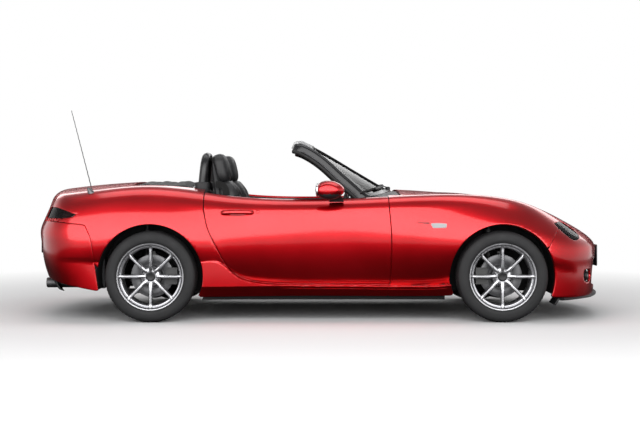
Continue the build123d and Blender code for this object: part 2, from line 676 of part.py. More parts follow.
def make_hoops():
    """Two padded roll hoops with the wind deflector between them, on a common shelf."""
    shelf = box(hoop_x - 44, hoop_x + 44, -hood_half, hood_half, hood_floor, 868)
    body = shelf
    for side in (1, -1):
        left, right = side * seat_y - hoop_half, side * seat_y + hoop_half
        corner = 90
        top = hoop_top - hoop_radius
        bar = rod((hoop_x, left, 850), (hoop_x + 20, left, top - corner), hoop_radius)
        bar += rod((hoop_x, right, 850), (hoop_x + 20, right, top - corner), hoop_radius)
        bar += rod((hoop_x + 26, left + corner, top), (hoop_x + 26, right - corner, top), hoop_radius)
        bar += rod((hoop_x + 20, left, top - corner), (hoop_x + 26, left + corner, top), hoop_radius)
        bar += rod((hoop_x + 20, right, top - corner), (hoop_x + 26, right - corner, top), hoop_radius)
        for y, z, x in ((left, top - corner, 20), (right, top - corner, 20), (left + corner, top, 26),
                        (right - corner, top, 26)):
            bar += Pos(hoop_x + x, y, z) * Sphere(hoop_radius)
        body += bar
    body += box(hoop_x + 2, hoop_x + 10, -seat_y + hoop_half, seat_y - hoop_half, 860, 1040)
    keep("roll_hoops", body)


def make_folded_top():
    """The soft top stowed behind the seats, as one closed stack."""
    region = box(hood_rear_x, hood_front_x, -hood_half, hood_half, hood_floor, 1000)
    keep("folded_top", (outer & region))


# ---- mirrors, lamps, lower trim ------------------------------------------
mirror_x = 20
mirror_z = 872
mirror_inner_y = 826


def make_mirrors():
    """Mirror housing on a short foot, which stands on the door's shoulder."""
    def outline(y, half_x, half_z):
        back, front = mirror_x - 0.55 * half_x, mirror_x + 1.45 * half_x
        low, high = mirror_z - half_z, mirror_z + half_z
        points = [Vector(back, y, mirror_z), Vector(back + 0.2 * half_x, y, high - 0.1 * half_z),
                  Vector(mirror_x + 0.3 * half_x, y, high), Vector(front, y, mirror_z),
                  Vector(mirror_x + 0.3 * half_x, y, low), Vector(back + 0.2 * half_x, y, low + 0.1 * half_z)]
        arcs = [Edge.make_three_point_arc(points[0], points[1], points[2]), Edge.make_three_point_arc(
            points[2], Vector(mirror_x + 1.05 * half_x, y, mirror_z + 0.72 * half_z), points[3]),
            Edge.make_three_point_arc(points[3], Vector(mirror_x + 1.05 * half_x, y, mirror_z - 0.72 * half_z),
                                      points[4]),
            Edge.make_three_point_arc(points[4], points[5], points[0])]
        return Wire(arcs)
    housing = Solid.make_loft([outline(mirror_inner_y + dy, hx, hz) for dy, hx, hz in (
        (0, 62, 40), (34, 84, 56), (100, 95, 64), (140, 78, 52), (158, 40, 28))], True)
    foot = side_prism([(mirror_x + 40, 780), (mirror_x + 135, 780), (mirror_x + 118, mirror_z - 20),
                       (mirror_x + 52, mirror_z - 20)], 780, mirror_inner_y + 30)
    mirror = housing + (foot - outer_grown)
    keep("mirror_left", mirror)
    keep("mirror_right", mirrored(mirror))


def make_lamps():
    inside = envelope(lamp_depth)
    keep("headlamps", both_sides((outer & headlamp_region(0)) - inside))
    keep("tail_lamps", both_sides((outer & tail_lamp_region(0)) - inside))
    keep("fog_lamps", both_sides((outer & fog_lamp_region(0)) - inside))
    keep("repeaters", both_sides((outer & repeater_region(0)) - envelope(repeater_depth)))


def make_lower_trim():
    lip_top, lip_bottom = lip_line - fit_gap, lip_line - 20
    grow = 12

    def ring(offset, z0, z1):
        wire = Wire([
            Edge.make_three_point_arc(Vector(nose_corner[0] + offset, nose_corner[1] + 0.6 * offset, z0),
                                      Vector(nose_x + offset, 0, z0),
                                      Vector(nose_corner[0] + offset, -nose_corner[1] - 0.6 * offset, z0)),
            Edge.make_line(Vector(nose_corner[0] + offset, -nose_corner[1] - 0.6 * offset, z0),
                           Vector(1560, -790 - 0.4 * offset, z0)),
            Edge.make_line(Vector(1560, -790 - 0.4 * offset, z0), Vector(1560, 790 + 0.4 * offset, z0)),
            Edge.make_line(Vector(1560, 790 + 0.4 * offset, z0),
                           Vector(nose_corner[0] + offset, nose_corner[1] + 0.6 * offset, z0)),
        ])
        return Solid.extrude(Face(wire), Vector(0, 0, z1 - z0))
    lip = ring(grow, lip_bottom, lip_top) - ring(-90, lip_bottom - 10, lip_top + 10)
    keep("front_lip", lip)
    # the grille follows the bumper's inside: a border and bars across the intake
    grille = box(1600, 2000, -518, 518, 199, 212) + box(1600, 2000, -518, 518, 388, 401)
    grille += both_sides(box(1600, 2000, 505, 518, 199, 401))
    for i in range(4):
        grille += box(1600, 2000, -518, 518, 236 + 38 * i, 246 + 38 * i)
    grille &= envelope(skin + fit_gap) - envelope(skin + fit_gap + grille_depth)
    keep("grille", grille)
    shelf = (plan_outline(44) - plan_outline(66)) & box(-2000, -1600, -diffuser_half + fit_gap,
                                                        diffuser_half - fit_gap, 184, 272)
    for y in tip_ys:
        shelf -= cyl_x(-2000, -1500, y, tip_z, tip_radius + clear_gap)
    keep("diffuser", shelf)


# ---- wheels and running gear ---------------------------------------------
def make_wheel(tag, axle_x, side):
    """Tyre, rim and brake disc with hub, all turning about the axle line."""
    mid = side * wheel_y

    def ring(points):
        """Revolves (radius, outboard offset) points about the axle."""
        wire = Wire.make_polygon([Vector(axle_x, mid + side * y, tyre_radius + r) for r, y in points], close=True)
        axis = Axis((axle_x, 0, tyre_radius), (0, 1, 0))
        return revolve(Face(wire), axis, 360)
    hw, rw = tyre_width / 2, rim_width / 2
    keep("tyre_" + tag, ring([
        (bead_radius + fit_gap, -rw + 8 + fit_gap), (bead_radius + fit_gap, rw - 8 - fit_gap),
        (rim_flange_radius + fit_gap, rw - 6 - fit_gap), (rim_flange_radius + 1, rw + 2), (240, hw - 1),
        (268, hw),
        (292, hw - 14), (tyre_radius, hw - 36), (tyre_radius, -hw + 36), (292, -hw + 14), (268, -hw),
        (240, -hw + 1),
        (rim_flange_radius + 1, -rw - 2), (rim_flange_radius + fit_gap, -rw + 6 + fit_gap)]))
    barrel = ring([
        (rim_flange_radius, -rw), (rim_flange_radius, -rw + 6), (bead_radius, -rw + 8), (bead_radius, rw - 8),
        (rim_flange_radius, rw - 6), (rim_flange_radius, rw), (barrel_radius + 6, rw), (barrel_radius, rw - 20),
        (barrel_radius, -rw + 10), (barrel_radius + 10, -rw)])
    face_y = mid + side * rim_face_offset
    rim = barrel + cyl_y(axle_x, tyre_radius, hub_flange_radius, face_y, mid + side * 62)
    for i in range(spoke_count):
        angle = 360 / spoke_count * i
        spoke = side_prism([(60, -15), (60, 15), (barrel_radius + 4, 10), (barrel_radius + 4, -10)],
                           mid + side * 48, mid + side * 72)
        rim += Pos(axle_x, 0, tyre_radius) * Rot(0, angle, 0) * spoke
    for i in range(bolt_count):
        a = radians(360 / bolt_count * i + 45)
        rim -= cyl_y(axle_x + bolt_circle / 2 * cos(a), tyre_radius + bolt_circle / 2 * sin(a), 8,
                     face_y - side * 5, mid + side * 80)
    keep("rim_" + tag, rim)
    inner_end = 120 if axle_x < 0 else 642
    disc = cyl_y(axle_x, tyre_radius, disc_radius, side * disc_y, side * (disc_y + disc_thickness))
    disc += cyl_y(axle_x, tyre_radius, hub_flange_radius, side * disc_y, face_y)
    disc += cyl_y(axle_x, tyre_radius, spindle_radius, side * inner_end, side * 705)
    for i in range(bolt_count):
        a = radians(360 / bolt_count * i + 45)
        disc += cyl_y(axle_x + bolt_circle / 2 * cos(a), tyre_radius + bolt_circle / 2 * sin(a), 6,
                      face_y - side, mid + side * 58)
    keep("brake_disc_" + tag, disc)


kingpin_y = 684
kingpin_radius = 7
lower_arm = (150, 180)
upper_arm = (446, 462)
damper_y = 545
damper_radius = 30
damper_offset = 58           # behind the drive shaft's line
arm_half = 130
upright_y = (672, 696)       # inner and outer face of the wheel carriers
caliper_y = (684, 744)


def make_knuckle(axle_x, side, caliper_way):
    """Wheel carrier with its bearing, legs to the ball joints and the brake caliper."""
    leg_low, leg_high = lower_arm[1] + clear_gap, upper_arm[0] - clear_gap
    body = cyl_y(axle_x, tyre_radius, 50, side * 648, side * 696)
    body += box(axle_x - 22, axle_x + 22, *y_span(side, *upright_y), leg_low, leg_high)
    if axle_x > 0:
        body += box(axle_x, rack_x + 8, *y_span(side, 656, 680), 240, 262)
    x_near, x_far = axle_x + caliper_way * 90, axle_x + caliper_way * 168
    caliper = box(min(x_near, x_far), max(x_near, x_far), *y_span(side, *caliper_y),
                  245, 355)
    x_root = axle_x + caliper_way * 30
    bracket = box(min(x_root, x_far), max(x_root, x_far), *y_span(side, *upright_y),
                  280, 320)
    body += caliper + bracket
    body -= cyl_y(axle_x, tyre_radius, disc_radius + clear_gap, side * (disc_y - 5),
                  side * (disc_y + disc_thickness + 5))
    body -= cyl_y(axle_x, tyre_radius, hub_flange_radius + clear_gap, side * 699, side * 800)
    body -= cyl_y(axle_x, tyre_radius, spindle_radius + running_gap, side * 600, side * 800)
    return body


def make_arms(axle_x, side):
    """Lower and upper wishbones of one wheel, with the spring and damper standing on the lower one."""
    def wishbone(y_in, half_in, z0, z1):
        points = [(axle_x - half_in, side * y_in), (axle_x + half_in, side * y_in), (axle_x + 18, side * 696),
                  (axle_x - 18, side * 696)]
        return plan_prism(points, z0, z1)
    damper_x = axle_x - damper_offset
    low = wishbone(bay_y - 90, arm_half, lower_arm[0], lower_arm[1])
    low += cyl_z(damper_x, side * damper_y, damper_radius, lower_arm[1] - 2, 600)
    mount = 12
    reach = (liner_radius ** 2 - (damper_offset + mount) ** 2) ** 0.5
    low += cyl_z(damper_x, side * damper_y, mount, 599, tyre_radius + reach - fit_gap)
    high = wishbone(liner_y + fit_gap, 92, upper_arm[0], upper_arm[1])
    high -= cyl_z(damper_x, side * damper_y, damper_radius + clear_gap, 430, 480)
    return low, high


def make_running_gear():
    front = box(front_axle_x - 48, front_axle_x + 48, -liner_y, liner_y, *lower_arm)
    rear = box(rear_axle_x - 60, rear_axle_x + 60, -liner_y, liner_y, *lower_arm)
    rear += box(rear_axle_x - 90, rear_axle_x + 90, -112, 112, lower_arm[1] - 1, 396)
    for side in (1, -1):
        # rails of the rear subframe reach the body ahead of and behind the axle bay
        ya, yb = sorted((side * 300, side * 350))
        rear += box(rear_bay_x[0] - 60, rear_bay_x[1] + 60, ya, yb, *lower_arm)
        low, high = make_arms(front_axle_x, side)
        low += cyl_z(front_axle_x, side * kingpin_y, kingpin_radius, lower_arm[1] - 2, lower_arm[1] + 26)
        high += cyl_z(front_axle_x, side * kingpin_y, kingpin_radius, upper_arm[0] - 26, upper_arm[0] + 2)
        front = front + low + high
        low, high = make_arms(rear_axle_x, side)
        rear = rear + low + high
    # steering rack ahead of the axle, on two brackets
    front += cyl_y(rack_x, rack_z, 24, -360, 360)
    front += cyl_y(rack_x, rack_z, 9, -560, 560)
    for y in (-200, 200):
        front += box(front_axle_x + 40, rack_x + 15, y - 15, y + 15, lower_arm[0], rack_z)
    rear -= cyl_y(rear_axle_x, tyre_radius, spindle_radius + running_gap, -125, 125)
    for side in (1, -1):
        upright = make_knuckle(rear_axle_x, side, 1)
        upright += box(rear_axle_x - 22, rear_axle_x + 22, *y_span(side, *upright_y),
                       lower_arm[1] - 1, upper_arm[0] + 1)
        upright -= cyl_y(rear_axle_x, tyre_radius, spindle_radius + running_gap, side * 600, side * 720)
        rear += upright
    keep("front_axle", front)
    keep("rear_axle", rear)
    for name, side in (("knuckle_left", 1), ("knuckle_right", -1)):
        knuckle = make_knuckle(front_axle_x, side, -1)
        knuckle -= cyl_z(front_axle_x, side * kingpin_y, kingpin_radius + running_gap, 0, lower_arm[1] + 30)
        knuckle -= cyl_z(front_axle_x, side * kingpin_y, kingpin_radius + running_gap, upper_arm[0] - 30, 600)
        keep(name, knuckle)
    for tag, x, side in (("front_left", front_axle_x, 1), ("front_right", front_axle_x, -1),
                         ("rear_left", rear_axle_x, 1), ("rear_right", rear_axle_x, -1)):
        make_wheel(tag, x, side)


def make_driveline():
    engine = box(700, front_axle_x - 10, -190, 190, lower_arm[1], 700)
    gearbox = box(240, 701, -95, 95, 262, 362)
    shaft = rod((241, 0, tyre_radius), (rear_axle_x + 90, 0, tyre_radius), 26)
    keep("engine", engine + gearbox + shaft)
    run = [(699.5, -60), (-900, -60), (-1000, pipe_y), (-1500, pipe_y)]
    pipe = rod((*run[0], pipe_z), (*run[1], pipe_z), pipe_radius)
    for (xa, ya), (xb, yb) in zip(run[1:], run[2:]):
        pipe += rod((xa, ya, pipe_z), (xb, yb, pipe_z), pipe_radius)
        pipe += Pos(xa, ya, pipe_z) * Sphere(pipe_radius)
    muffler = box(-1600, -1460, -540, 120, 200, muffler_top - fit_gap)
    for y in tip_ys:
        muffler += rod((-1599, y, tip_z), (tail_x + 22, y, tip_z), tip_radius)
    keep("exhaust", pipe + muffler)


make_panels()
make_antenna()
make_lids()
make_cowl()
make_structure()
make_windscreen()
make_cabin()
make_seats()
make_hoops()
make_folded_top()
make_mirrors()
make_lamps()
make_lower_trim()
make_running_gear()
make_driveline()
door = make_door()
keep("door_left", door)
keep("door_right", mirrored(door))

os.makedirs("parts", exist_ok=True)
for name, shape in parts.items():
    solids = shape.solids()
    export_step(solids[0] if len(solids) == 1 else Compound(children=list(solids)), f"parts/{name}.step")
    print(name, len(solids), [round(s.volume / 1e6, 2) for s in solids], all(s.is_valid for s in solids))
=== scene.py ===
import bmesh
import bpy
import math
import numpy as np
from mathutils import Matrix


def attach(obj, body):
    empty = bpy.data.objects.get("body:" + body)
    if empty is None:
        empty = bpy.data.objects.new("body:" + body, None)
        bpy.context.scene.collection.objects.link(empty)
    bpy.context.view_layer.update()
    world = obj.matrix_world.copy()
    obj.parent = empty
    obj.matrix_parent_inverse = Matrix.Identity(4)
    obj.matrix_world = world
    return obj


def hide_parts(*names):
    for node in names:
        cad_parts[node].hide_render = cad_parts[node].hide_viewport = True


# Open two-seat roadster. Metres; +x is forward, +y the car's left, +z up.
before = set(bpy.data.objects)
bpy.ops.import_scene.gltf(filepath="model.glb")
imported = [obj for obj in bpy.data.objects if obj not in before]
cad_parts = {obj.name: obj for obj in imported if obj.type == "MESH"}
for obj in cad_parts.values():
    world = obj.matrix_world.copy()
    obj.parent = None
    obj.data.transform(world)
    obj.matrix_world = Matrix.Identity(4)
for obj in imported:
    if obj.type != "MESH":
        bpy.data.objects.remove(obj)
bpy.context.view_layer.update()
print("stage: frame loaded")


def unit(direction):
    return np.asarray(direction, float) / np.linalg.norm(direction)


def spline(knots, values):
    # natural cubic through the knots, tabled every millimetre or so and read back in straight steps
    t = np.asarray(knots, float)
    v = np.asarray(values, float)
    n = len(t)
    h = np.diff(t)
    matrix = np.eye(n)
    right = np.zeros(n)
    for i in range(1, n - 1):
        matrix[i, i - 1:i + 2] = h[i - 1], 2 * (h[i - 1] + h[i]), h[i]
        right[i] = 6 * ((v[i + 1] - v[i]) / h[i] - (v[i] - v[i - 1]) / h[i - 1])
    bend = np.linalg.solve(matrix, right)
    fine = np.linspace(t[0], t[-1], 3000)
    k = np.clip(np.searchsorted(t, fine) - 1, 0, n - 2)
    a, b = t[k + 1] - fine, fine - t[k]
    table = (bend[k] * a ** 3 + bend[k + 1] * b ** 3) / (6 * h[k])
    table += (v[k] / h[k] - bend[k] * h[k] / 6) * a + (v[k + 1] / h[k] - bend[k + 1] * h[k] / 6) * b
    slopeLow = (table[1] - table[0]) / (fine[1] - fine[0])
    slopeHigh = (table[-1] - table[-2]) / (fine[-1] - fine[-2])

    def read(x):
        x = np.asarray(x, float)
        inside = np.interp(x, fine, table)
        return inside + slopeLow * np.minimum(x - fine[0], 0) + slopeHigh * np.maximum(x - fine[-1], 0)
    return read


def smoothLine(points, count=60):
    # one smooth line through the points, by distance along them
    p = np.asarray(points, float)
    s = np.concatenate([[0], np.cumsum(np.linalg.norm(np.diff(p, axis=0), axis=1))])
    t = np.linspace(0, s[-1], count)
    return np.stack([spline(s, p[:, k])(t) for k in range(p.shape[1])], axis=1)


def outline(*runs):
    # closed outline from runs: two points make a straight edge, more make a smooth one
    parts = [np.asarray(r, float) if len(r) == 2 else smoothLine(r, 16 * len(r)) for r in runs]
    return np.concatenate([p[:-1] if np.allclose(p[-1], q[0]) else p for p,
                           q in zip(parts, parts[1:] + parts[:1])])


def signedDistance(x, y, line):
    # distance to a closed outline, positive inside it
    px, py = np.ravel(x)[:, None], np.ravel(y)[:, None]
    best = np.full(px.shape[0], 1e9)
    inside = np.zeros(px.shape[0], bool)
    ax, ay = line[:, 0], line[:, 1]
    bx, by = np.roll(ax, -1), np.roll(ay, -1)
    for part in np.array_split(np.arange(len(ax)), max(1, len(ax) // 24)):
        ux, uy = (bx - ax)[part], (by - ay)[part]
        wx, wy = px - ax[part], py - ay[part]
        t = np.clip((wx * ux + wy * uy) / np.maximum(ux * ux + uy * uy, 1e-12), 0, 1)
        best = np.minimum(best, np.min((wx - t * ux) ** 2 + (wy - t * uy) ** 2, axis=1))
        crosses = ((ay[part] > py) != (by[part] > py)) & (wx < ux * wy / np.where(uy == 0, 1e-12, uy))
        inside ^= (np.sum(crosses, axis=1) % 2).astype(bool)
    return np.where(inside, 1, -1) * np.sqrt(best)


def smoothMin(a, b, radius):
    # the smaller of two distances, with the corner between them rounded
    h = np.clip(0.5 + 0.5 * (b - a) / radius, 0, 1)
    return b * (1 - h) + a * h - radius * h * (1 - h)


def smoothStep(low, high, x):
    # 0 below low, 1 above high, an S-shaped rise between
    t = np.clip((x - low) / (high - low), 0, 1)
    return t * t * (3 - 2 * t)


def meshObject(name, points, faces, material, sharp=40, faceMaterials=None):
    # an object from points and faces, smooth shaded, with edges sharper than the angle kept
    mesh = bpy.data.meshes.new(name)
    mesh.from_pydata(np.asarray(points, float).tolist(), [], [list(map(int, f)) for f in faces])
    piece = bpy.data.objects.new(name, mesh)
    bpy.context.scene.collection.objects.link(piece)
    for m in material if isinstance(material, (list, tuple)) else [material]:
        mesh.materials.append(m)
    if faceMaterials is not None:
        mesh.polygons.foreach_set("material_index", np.asarray(faceMaterials, np.int32))
    mesh.polygons.foreach_set("use_smooth", np.ones(len(mesh.polygons), bool))
    mesh.validate()
    if sharp:
        mesh.set_sharp_from_angle(angle=math.radians(sharp))
    mesh.update()
    return piece


def meshPoints(mesh):
    points = np.empty(len(mesh.vertices) * 3)
    mesh.vertices.foreach_get("co", points)
    return points.reshape(-1, 3)


def gridFaces(rows, columns, closeRows=False, closeColumns=False, flip=False):
    # quads between neighbouring points of a rows x columns grid
    i = np.arange(rows if closeRows else rows - 1)
    j = np.arange(columns if closeColumns else columns - 1)
    i, j = [k.ravel() for k in np.meshgrid(i, j, indexing="ij")]
    a, b = i * columns + j, i * columns + (j + 1) % columns
    c, d = ((i + 1) % rows) * columns + (j + 1) % columns, ((i + 1) % rows) * columns + j
    return np.stack([a, d, c, b] if flip else [a, b, c, d], axis=1)


def joined(*shapes):
    # several (points, faces) as one
    points, faces, start = [], [], 0
    for p, f in shapes:
        points.append(np.asarray(p, float).reshape(-1, 3))
        faces += [[int(k) + start for k in face] for face in f]
        start += len(points[-1])
    return np.concatenate(points), faces


def flippedY(shape):
    # mirrored to the car's other side, the faces turned to point outwards again
    p, f = shape
    return np.asarray(p) * [1, -1, 1], [list(face)[::-1] for face in f]


body = {
    "frontAxle": 1.198, "rearAxle": -1.112, "wheelZ": 0.3, "archRadius": 0.346,
    # control curves along the car: x, value
    "middleZ": [(-2.0, 0.83), (-1.85, 0.864), (-1.7, 0.886), (-1.5, 0.906), (-1.3, 0.92), (-1.1, 0.927),
                (-0.85, 0.922), (-0.45, 0.885), (0.0, 0.868), (0.474, 0.868), (0.867, 0.845),
                (1.199, 0.813), (1.38, 0.783), (1.575, 0.722), (1.7, 0.662), (1.82, 0.592), (2.0, 0.455)],
    "crestZ": [(-2.0, 0.8), (-1.74, 0.828), (-1.526, 0.856), (-1.324, 0.881), (-1.124, 0.89),
               (-0.95, 0.877), (-0.794, 0.856), (-0.6, 0.828), (-0.3, 0.807), (0.0, 0.805), (0.3, 0.814),
               (0.62, 0.831), (0.926, 0.839), (1.158, 0.825), (1.3, 0.8), (1.43, 0.757), (1.56, 0.692),
               (1.7, 0.612), (1.82, 0.55), (2.0, 0.465)],
    "crestY": [(-2.0, 0.64), (-1.7, 0.704), (-1.4, 0.738), (-1.1, 0.746), (-0.7, 0.746), (0.0, 0.751),
               (0.6, 0.75), (1.0, 0.744), (1.2, 0.734), (1.4, 0.705), (1.58, 0.656), (1.75, 0.594),
               (2.0, 0.475)],
    "wideZ": [(-2.0, 0.59), (-1.54, 0.63), (-1.112, 0.665), (-0.7, 0.635), (-0.2, 0.6), (0.3, 0.598),
              (0.82, 0.628), (1.198, 0.64), (1.45, 0.56), (1.7, 0.48), (2.0, 0.4)],
    "wideY": [(-2.0, 0.812), (-1.7, 0.826), (-1.4, 0.853), (-1.112, 0.867), (-0.85, 0.852),
              (-0.55, 0.823), (-0.2, 0.81), (0.1, 0.808), (0.4, 0.815), (0.75, 0.836), (1.0, 0.852),
              (1.198, 0.858), (1.35, 0.848), (1.5, 0.824), (1.7, 0.768), (2.0, 0.615)],
    "lowZ": [(-2.0, 0.42), (-1.112, 0.4), (-0.75, 0.404), (-0.655, 0.396), (-0.612, 0.366),
             (-0.554, 0.316), (-0.473, 0.277), (-0.372, 0.2595), (-0.222, 0.2508), (-0.1, 0.2478),
             (0.164, 0.2463), (0.466, 0.2425), (0.72, 0.243), (0.85, 0.258), (1.0, 0.33), (1.198, 0.398),
             (1.5, 0.372), (2.0, 0.3)],
    "lowY": [(-2.0, 0.824), (-1.6, 0.84), (-1.112, 0.862), (-0.75, 0.844), (-0.655, 0.829),
             (-0.612, 0.815), (-0.554, 0.795), (-0.473, 0.777), (-0.372, 0.768), (-0.222, 0.764),
             (0.0, 0.7606), (0.466, 0.761), (0.72, 0.768), (0.85, 0.78), (1.0, 0.82), (1.198, 0.852),
             (1.45, 0.836), (1.7, 0.79), (2.0, 0.64)],
    "bottomZ": [(-2.0, 0.29), (-1.8, 0.268), (-1.54, 0.222), (-1.3, 0.186), (-1.0, 0.169), (0.0, 0.171),
                (0.8, 0.171), (1.1, 0.18), (1.35, 0.18), (1.55, 0.165), (1.7, 0.16), (2.0, 0.16)],
    "bottomY": [(-2.0, 0.812), (-1.54, 0.838), (-1.112, 0.856), (-0.75, 0.845), (-0.6, 0.829),
                (-0.42, 0.821), (0.0, 0.82), (0.6, 0.82), (0.85, 0.832), (1.0, 0.846), (1.3, 0.846),
                (1.6, 0.812), (2.0, 0.65)],
    # plan of nose and tail: y, x
    "nosePlan": [(0.0, 1.95), (0.2, 1.936), (0.35, 1.903), (0.5, 1.858), (0.6, 1.814), (0.7, 1.738),
                 (0.78, 1.65), (0.84, 1.545), (0.9, 1.39)],
    "tailPlan": [(0.0, -1.958), (0.2, -1.951), (0.35, -1.934), (0.5, -1.9), (0.62, -1.86), (0.72, -1.806),
                 (0.79, -1.742), (0.84, -1.662), (0.9, -1.5)],
    # how far nose and tail draw back at a height: z, x
    "noseBack": [(0.1, 0.018), (0.172, 0.012), (0.25, 0.008), (0.33, 0.006), (0.37, 0.004), (0.4, 0.001),
                 (0.5, 0.0), (0.6, 0.01), (0.8, 0.06)],
    "tailBack": [(0.1, 0.11), (0.22, 0.075), (0.33, 0.036), (0.42, 0.016), (0.52, 0.004), (0.59, 0.0),
                 (0.665, 0.026), (0.74, 0.06), (0.82, 0.09), (0.95, 0.15)],
    "shoulder": 0.08, "noseRound": 0.062, "tailRound": 0.055,
    "ledge": 0.01, "tuck": 0.62, "tuckHeight": 0.07,
}
curve = {k: spline(*zip(*v)) for k, v in body.items() if isinstance(v, list)}


def sideWidth(x, z):
    # half width at a height: a parabola through the low, wide and shoulder points, and below it the sill,
    # which stands out by a narrow ledge under the door and then draws in towards its lower edge
    z0, z1, z2 = curve["lowZ"](x), curve["wideZ"](x), curve["crestZ"](x) - 0.048
    y0, y1, y2 = curve["lowY"](x), curve["wideY"](x), curve["crestY"](x) + 0.042
    first = (y1 - y0) / (z1 - z0)
    second = ((y2 - y1) / (z2 - z1) - first) / (z2 - z0)
    upper = y0 + first * (z - z0) + second * (z - z0) * (z - z1)
    sill = y0 + (curve["bottomY"](x) - y0) * smoothStep(0.0, body["ledge"], z0 - z)
    between = smoothStep(-0.86, -0.72, x) * (1 - smoothStep(0.84, 0.98, x))
    sill -= body["tuck"] * between * np.maximum(curve["bottomZ"](x) + body["tuckHeight"] - z, 0)
    return np.where(z < z0, sill, upper)


def bodyField(p):
    # how deep a point lies inside the body: the least of its depths under side, top, nose and tail,
    # rounded together
    x, y, z = p[:, 0], np.abs(p[:, 1]), p[:, 2]
    side = sideWidth(x, z) - y
    half = curve["crestY"](x) - 0.035
    middle = curve["middleZ"](x)
    crown = middle - (middle - curve["crestZ"](x) - 0.001) * (y / half) ** 2
    field = smoothMin(side, crown - z, body["shoulder"])
    nose = curve["nosePlan"](y) - curve["noseBack"](z) - x
    nose /= np.sqrt(1 + ((curve["nosePlan"](y + 0.01) - curve["nosePlan"](y)) / 0.01) ** 2)
    tail = x - curve["tailPlan"](y) - curve["tailBack"](z)
    tail /= np.sqrt(1 + ((curve["tailPlan"](y + 0.01) - curve["tailPlan"](y)) / 0.01) ** 2)
    return smoothMin(smoothMin(field, nose, body["noseRound"]), tail, body["tailRound"])


def castOut(origins, directions, reach=1.5):
    # the body's surface along rays from inside, by halving
    low, high = np.zeros(len(origins)), np.full(len(origins), reach)
    for _ in range(21):
        middle = (low + high) / 2
        inside = bodyField(origins + directions * middle[:, None]) > 0
        low, high = np.where(inside, middle, low), np.where(inside, high, middle)
    return origins + directions * low[:, None]


def bodyNormal(p, step=0.0015):
    # outward direction, from how the field changes around the point
    g = np.stack([bodyField(p - d) - bodyField(p + d) for d in np.eye(3) * step], axis=1)
    return g / np.maximum(np.linalg.norm(g, axis=1, keepdims=True), 1e-9)


def sideCast(u, v):
    # u is x, v an angle about a line along the car inside the left side
    origins = np.stack([u, np.full_like(u, 0.33), np.full_like(u, 0.4)], axis=1)
    return castOut(origins, np.stack([np.zeros_like(v), np.cos(v), np.sin(v)], axis=1))


def flankCast(u, v):
    # the same from a lower line, from which the sill's ledge under the door can be seen
    origins = np.stack([u, np.full_like(u, 0.33), np.full_like(u, 0.25)], axis=1)
    return castOut(origins, np.stack([np.zeros_like(v), np.cos(v), np.sin(v)], axis=1))


def topCast(u, v):
    # u is x, v is y: straight up from inside the body
    origins = np.stack([u, v, np.full_like(u, 0.3)], axis=1)
    return castOut(origins, np.tile([0.0, 0.0, 1.0], (len(u), 1)))


def noseCast(u, v):
    # u is an angle to the left, v an angle upwards, about a point behind the nose
    origins = np.tile([1.28, 0.0, 0.4], (len(u), 1))
    return castOut(origins, np.stack([np.cos(v) * np.cos(u), np.cos(v) * np.sin(u), np.sin(v)], axis=1))


def tailCast(u, v):
    # the same about a point in the boot, looking back
    origins = np.tile([-1.28, 0.0, 0.48], (len(u), 1))
    return castOut(origins, np.stack([-np.cos(v) * np.cos(u), np.cos(v) * np.sin(u), np.sin(v)], axis=1))


def lidCast(u, v):
    # u is an angle about a cross line inside the boot, v is y
    origins = np.stack([np.full_like(u, -1.45), v, np.full_like(u, 0.52)], axis=1)
    return castOut(origins, np.stack([np.cos(u), np.zeros_like(u), np.sin(u)], axis=1))


def splitAt(uv, faces, values, level):
    # cuts the triangles that straddle a level of the field, so that the level becomes edges
    above = values > level
    count = above[faces].sum(axis=1)
    keep = faces[(count == 0) | (count == 3)]
    cut = faces[(count == 1) | (count == 2)]
    if len(cut) == 0:
        return uv, faces, values
    odd = np.where(above[cut].sum(axis=1)[:, None] == 1, above[cut], ~above[cut])
    first = np.argmax(odd, axis=1)
    rows = np.arange(len(cut))
    a, b, c = cut[rows, first], cut[rows, (first + 1) % 3], cut[rows, (first + 2) % 3]
    n = len(uv)
    keys = np.concatenate([np.minimum(a, b) * n + np.maximum(a, b),
                           np.minimum(a, c) * n + np.maximum(a, c)])
    unique, back = np.unique(keys, return_inverse=True)
    p, q = unique // n, unique % n
    t = np.clip((level - values[p]) / (values[q] - values[p]), 0.02, 0.98)
    uv = np.concatenate([uv, uv[p] + (uv[q] - uv[p]) * t[:, None]])
    values = np.concatenate([values, np.full(len(unique), level)])
    ab, ac = n + back[:len(cut)], n + back[len(cut):]
    new = [np.stack(s, axis=1) for s in ((a, ab, ac), (ab, b, c), (ab, c, ac))]
    return uv, np.concatenate([keep] + new), values


def spaced(runs, count):
    # grid places: an even run from a pair, or a list of (place, weight), closer together where it is high
    if len(runs) == 2 and np.isscalar(runs[0]):
        return np.linspace(*runs, count)
    places, weights = zip(*runs)
    total = np.concatenate([[0], np.cumsum(np.diff(places) * np.array(weights[:-1]))])
    return np.interp(np.linspace(0, total[-1], count), total, places)


